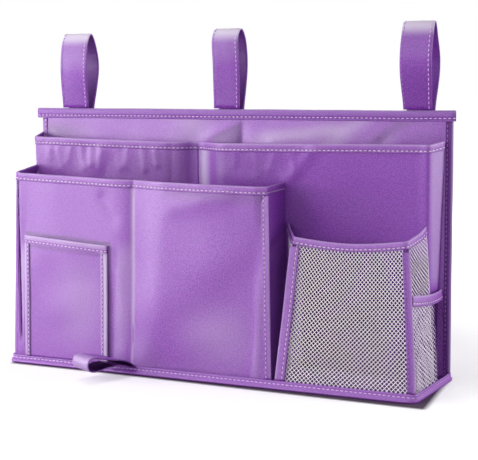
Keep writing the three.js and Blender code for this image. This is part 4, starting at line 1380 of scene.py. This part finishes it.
mesh_counts = [mesh_side_columns, mesh_front_columns, mesh_side_columns]
mesh_lower, mesh_upper = (plan_line(corners, mesh_counts) for corners in (mesh_low, mesh_high))
mesh_columns = len(mesh_lower) - 1
for index, point in enumerate(mesh_upper):
    if mesh_side_columns <= index <= mesh_columns - mesh_side_columns:
        point.z -= 5.5 * mm * math.sin(math.pi * clamp((point.x / mm - 111.5) / 137))
    point.z += 3.0 * mm * fade(point.y / mm, 4, 24) ** 2
front_first = mesh_side_columns + bend_steps
front_last = front_first + mesh_front_columns
right_first = mesh_columns - mesh_side_columns
for node, first, last, width, height, stretched in (
    ("mesh_left_net", 0, mesh_side_columns, 78, 174, 1.5),
    ("mesh_front_net", front_first, front_last, 153, 168, 1.0),
    ("mesh_right_net", right_first, mesh_columns, 78, 176, 1.6),
):
    place = wall(mesh_lower[first : last + 1], mesh_upper[first : last + 1], mesh_push)
    net_piece(node, place, width, height, stretched)
mesh_place = wall(mesh_lower, mesh_upper, mesh_push)
bound_rim(
    "mesh_top_binding", rim_stations(mesh_place, mesh_columns), mesh_tape, net_held, seed=73.0
)
for side, sign, low_x, top_x, width, tape in (
    ("left", -1, 100.5, 108.5, 12, purple_tape),
    ("right", 1, 269.5, 252, 8.5, side_tape),
):
    low = (low_x, mesh_front_low_y, wall_rim)
    share = (mesh_tape_top - wall_rim) / (176.5 - wall_rim)
    high = (low_x + (top_x - low_x) * share, mesh_tape_top)
    name = "mesh_%s_binding" % side
    corner_tape(name, sign, low, high, mesh_lean, width * mm, net_held, 1.2, tape, 75.0 + sign)

# %% [markdown]
# A small net pocket closes the side of the caddy between the net pocket's corner and the side
# tape. It stands outside the net behind it, so that the two nets show one through the other. Its
# front part carries painted light, and its rear strip painted deep shade.

# %% Side pocket
side_corners = [(268.9, -52.4, seam_z), (270.6, -50, seam_z, 1.5), (279.6, rear_end_y, seam_z)]
side_start = Vector((258.0, -30.3, 117.0))
side_end = Vector((271.0, rear_end_y, 112.0))
side_bow = Vector((4.0, 0, -2.0))


# Painted light on the front part, painted deep shade on the rear strip.
def side_net_shade(vertex):
    return 0.8 - 1.4 * fade(vertex.co.y / mm, 17, 12)


side_lower = plan_line(side_corners, [2, 30])
side_upper = []
for k in range(len(side_lower)):
    share = k / (len(side_lower) - 1)
    bowed = side_bow * math.sin(math.pi * share)
    side_upper.append((side_start.lerp(side_end, share) + bowed) * mm)
side_place = wall(side_lower, side_upper)
net_piece("side_pocket_net", side_place, 100, 106, 1.6, shaded_lilac_yarn, side_net_shade)
bound_rim("side_pocket_binding", rim_stations(side_place, 40), 12 * mm, net_held, seed=81.0)
print("net pockets dressed")

# %% [markdown]
# Each loop is one length of webbing. It leaves the hem, bows forward, turns over the rail and comes
# down behind the panel, where its tail closes on a strip of fastener. The path is a smooth curve
# through a few measured points, and the webbing is a sheet along it with stitches near both edges.

# %% Webbing loops
strap_thickness = 1.8 * mm
strap_columns = 16
strap_dome = 0.5
strap_waver = 0.5
stitch_gap = 0.15 * mm
root_z = 323.2
tail_depth = 6.7
loops = (
    # side, x, widths at the root and the top, painted shade inside and in front, then the shape:
    # rise, reach, bow in front, bow behind, shoulder
    ("left", -226.5, 38.5, 39.0, 0.25, 0.06, (95.5, 12, 3.5, 28, 10)),
    ("middle", -6.5, 35.0, 35.5, 0.3, 0.1, (98, 9, 1, 25, 12)),
    ("right", 239.5, 34.5, 38.0, 0.1, 0.12, (101.5, 6, 11, 27, 9)),
)


def smooth_path(points, steps):
    """A curve through points, each stretch in so many steps."""
    ends = [points[0] * 2 - points[1]] + points + [points[-1] * 2 - points[-2]]
    path = []
    for p0, p1, p2, p3 in zip(ends, ends[1:], ends[2:], ends[3:]):
        speed = p2 - p0
        bend = 2 * p0 - 5 * p1 + 4 * p2 - p3
        twist = 3 * p1 - p0 - 3 * p2 + p3
        for step in range(steps):
            t = step / steps
            path.append(0.5 * (2 * p1 + speed * t + bend * t * t + twist * t * t * t))
    path.append(points[-1])
    return path


def strap_path(rise, reach, front_bow, rear_bow, shoulder):
    """The side view of a loop, from its root at the hem to the end of its tail."""
    loop = [
        (0, 0),
        (-front_bow, rise * 0.52),
        (reach - shoulder, rise * 0.88),
        (reach, rise),
        (reach + shoulder, rise * 0.85),
        (rear_bow, rise * 0.52),
        (14, 0),
        (tail_depth + 1.6, -18),
        (tail_depth, -33),
        (tail_depth, -73.2),
    ]
    return smooth_path([Vector((y + stack_y, z + root_z)) for y, z in loop], 10)


def webbing_loop(side, x, root_width, top_width, inner_painted_shade, front_painted_shade, shape):
    path = strap_path(*shape)
    rise = shape[0]
    last = len(path) - 1
    body = "strap_%s_loop" % side
    heart = Vector((0, stack_y + 8, root_z + 50)) * mm

    def place(u, v):
        index = round(v * last)
        at = path[index]
        ahead = path[min(index + 1, last)] - path[max(index - 1, 0)]
        out = Vector((0, -ahead.y, ahead.x)).normalized()
        dome = strap_dome * (1 - (2 * u - 1) ** 2)
        edge = strap_waver * noise.noise(Vector((x * 0.1, v * 9, u * 3)))
        wide = root_width + (top_width - root_width) * fade(at.y, root_z, root_z + 45)
        return (Vector((x + (u - 0.5) * wide, at.x, at.y)) + out * (dome + edge)) * mm

    # Painted shade inside the loop and in front, painted light towards its top.
    def tone_of(vertex):
        height = (vertex.co.z / mm - root_z) / rise
        inwards = heart - vertex.co
        inwards.x = 0
        if height > 0 and vertex.normal.dot(inwards) > 0:
            return inner_painted_shade
        return front_painted_shade - 0.2 * fade(height, 0.3, 0.75) - 0.75 * fade(height, 0.82, 0.98)

    piece = grid_piece("strap_%s_webbing" % side, place, strap_columns, last)
    thicken(piece, strap_thickness)
    set_shade(piece, tone_of)
    finish_piece(piece, webbing, "webbing", body, "strap_" + side)
    flat = (top_width * mm, length_of(path) * mm)
    for edge, share, sewn_with in (("near", 0.06, shaded_thread), ("far", 0.9, thread)):
        line = []
        for index in range(last + 1):
            v = index / last
            step = place(share, min(v + side_step, 1)) - place(share, max(v - side_step, 0))
            out = Vector((0, -step.z, step.y)).normalized()
            line.append((place(share, v) + out * (strap_thickness / 2 + stitch_gap), out))
        stitch_row("strap_%s_thread_%s" % (side, edge), line, body, "webbing", sewn_with)
    for node, rides in (("hook_tape_" + side, body), ("loop_tape_" + side, "caddy")):
        finish_piece(plate_copy(node, node + "_pile"), fuzzy_tape, "fastener", rides, node)


for loop in loops:
    webbing_loop(*loop)
print("loops dressed")

# %% [markdown]
# A ribbon folded to a loop is caught in the front seam of the base. It stands out and turns aside,
# so that one sees into its opening. It is a sheet along a closed path, whose width turns as it
# leaves the seam.

# %% Ribbon tab
tab_root = Vector((-99.5, -57.6, 9.0))
tab_yaw = math.radians(27)
tab_ahead = Vector((-math.sin(tab_yaw), -math.cos(tab_yaw), 0))
tab_width = 34.0
tab_columns = 12
tab_thickness = 1.4 * mm
tab_outline = [
    (0.4, 0.6), (6, 6.5), (14, 12), (26, 15.5), (40, 18.5), (51, 21.6), (57, 22), (61, 20),
    (63, 14.5), (61.5, 8.5), (56, 5.4), (46, 5.6), (34, 7.4), (18, 6.6), (8, 2.4), (0.4, -0.6),
]
tab_path = smooth_path([Vector(pair) for pair in tab_outline], 8)


def tab_place(u, v):
    reach, rise = tab_path[round(v * (len(tab_path) - 1))]
    aside = (0.5 - u) * tab_width
    turned = tab_yaw * clamp(reach / 24)
    along = Vector((aside * math.cos(turned), -aside * math.sin(turned), rise))
    return (tab_root + tab_ahead * reach + along) * mm


def tab_tone(vertex):
    """Painted deep shade on the inside of the loop, painted light at its end."""
    reach = (vertex.co / mm - tab_root).dot(tab_ahead)
    to_middle = tab_ahead * (min(reach, 50) - reach) * mm
    to_middle.z = (tab_root.z + 3.0 + 0.2 * max(reach, 0)) * mm - vertex.co.z
    if vertex.normal.dot(to_middle) > 0:
        return 0.95 - 0.5 * fade(reach, 46, 60)
    return -0.3 * fade(reach, 46, 56)


piece = grid_piece("bottom_tab_ribbon", tab_place, tab_columns, len(tab_path) - 1)
thicken(piece, tab_thickness)
set_shade(piece, tab_tone)
finish_piece(piece, purple_tape, "binding", "tab", "bottom_tab")
flat = (tab_width * mm, length_of(tab_path) * mm)
print("ribbon tab dressed,", len(piece.data.polygons), "faces")
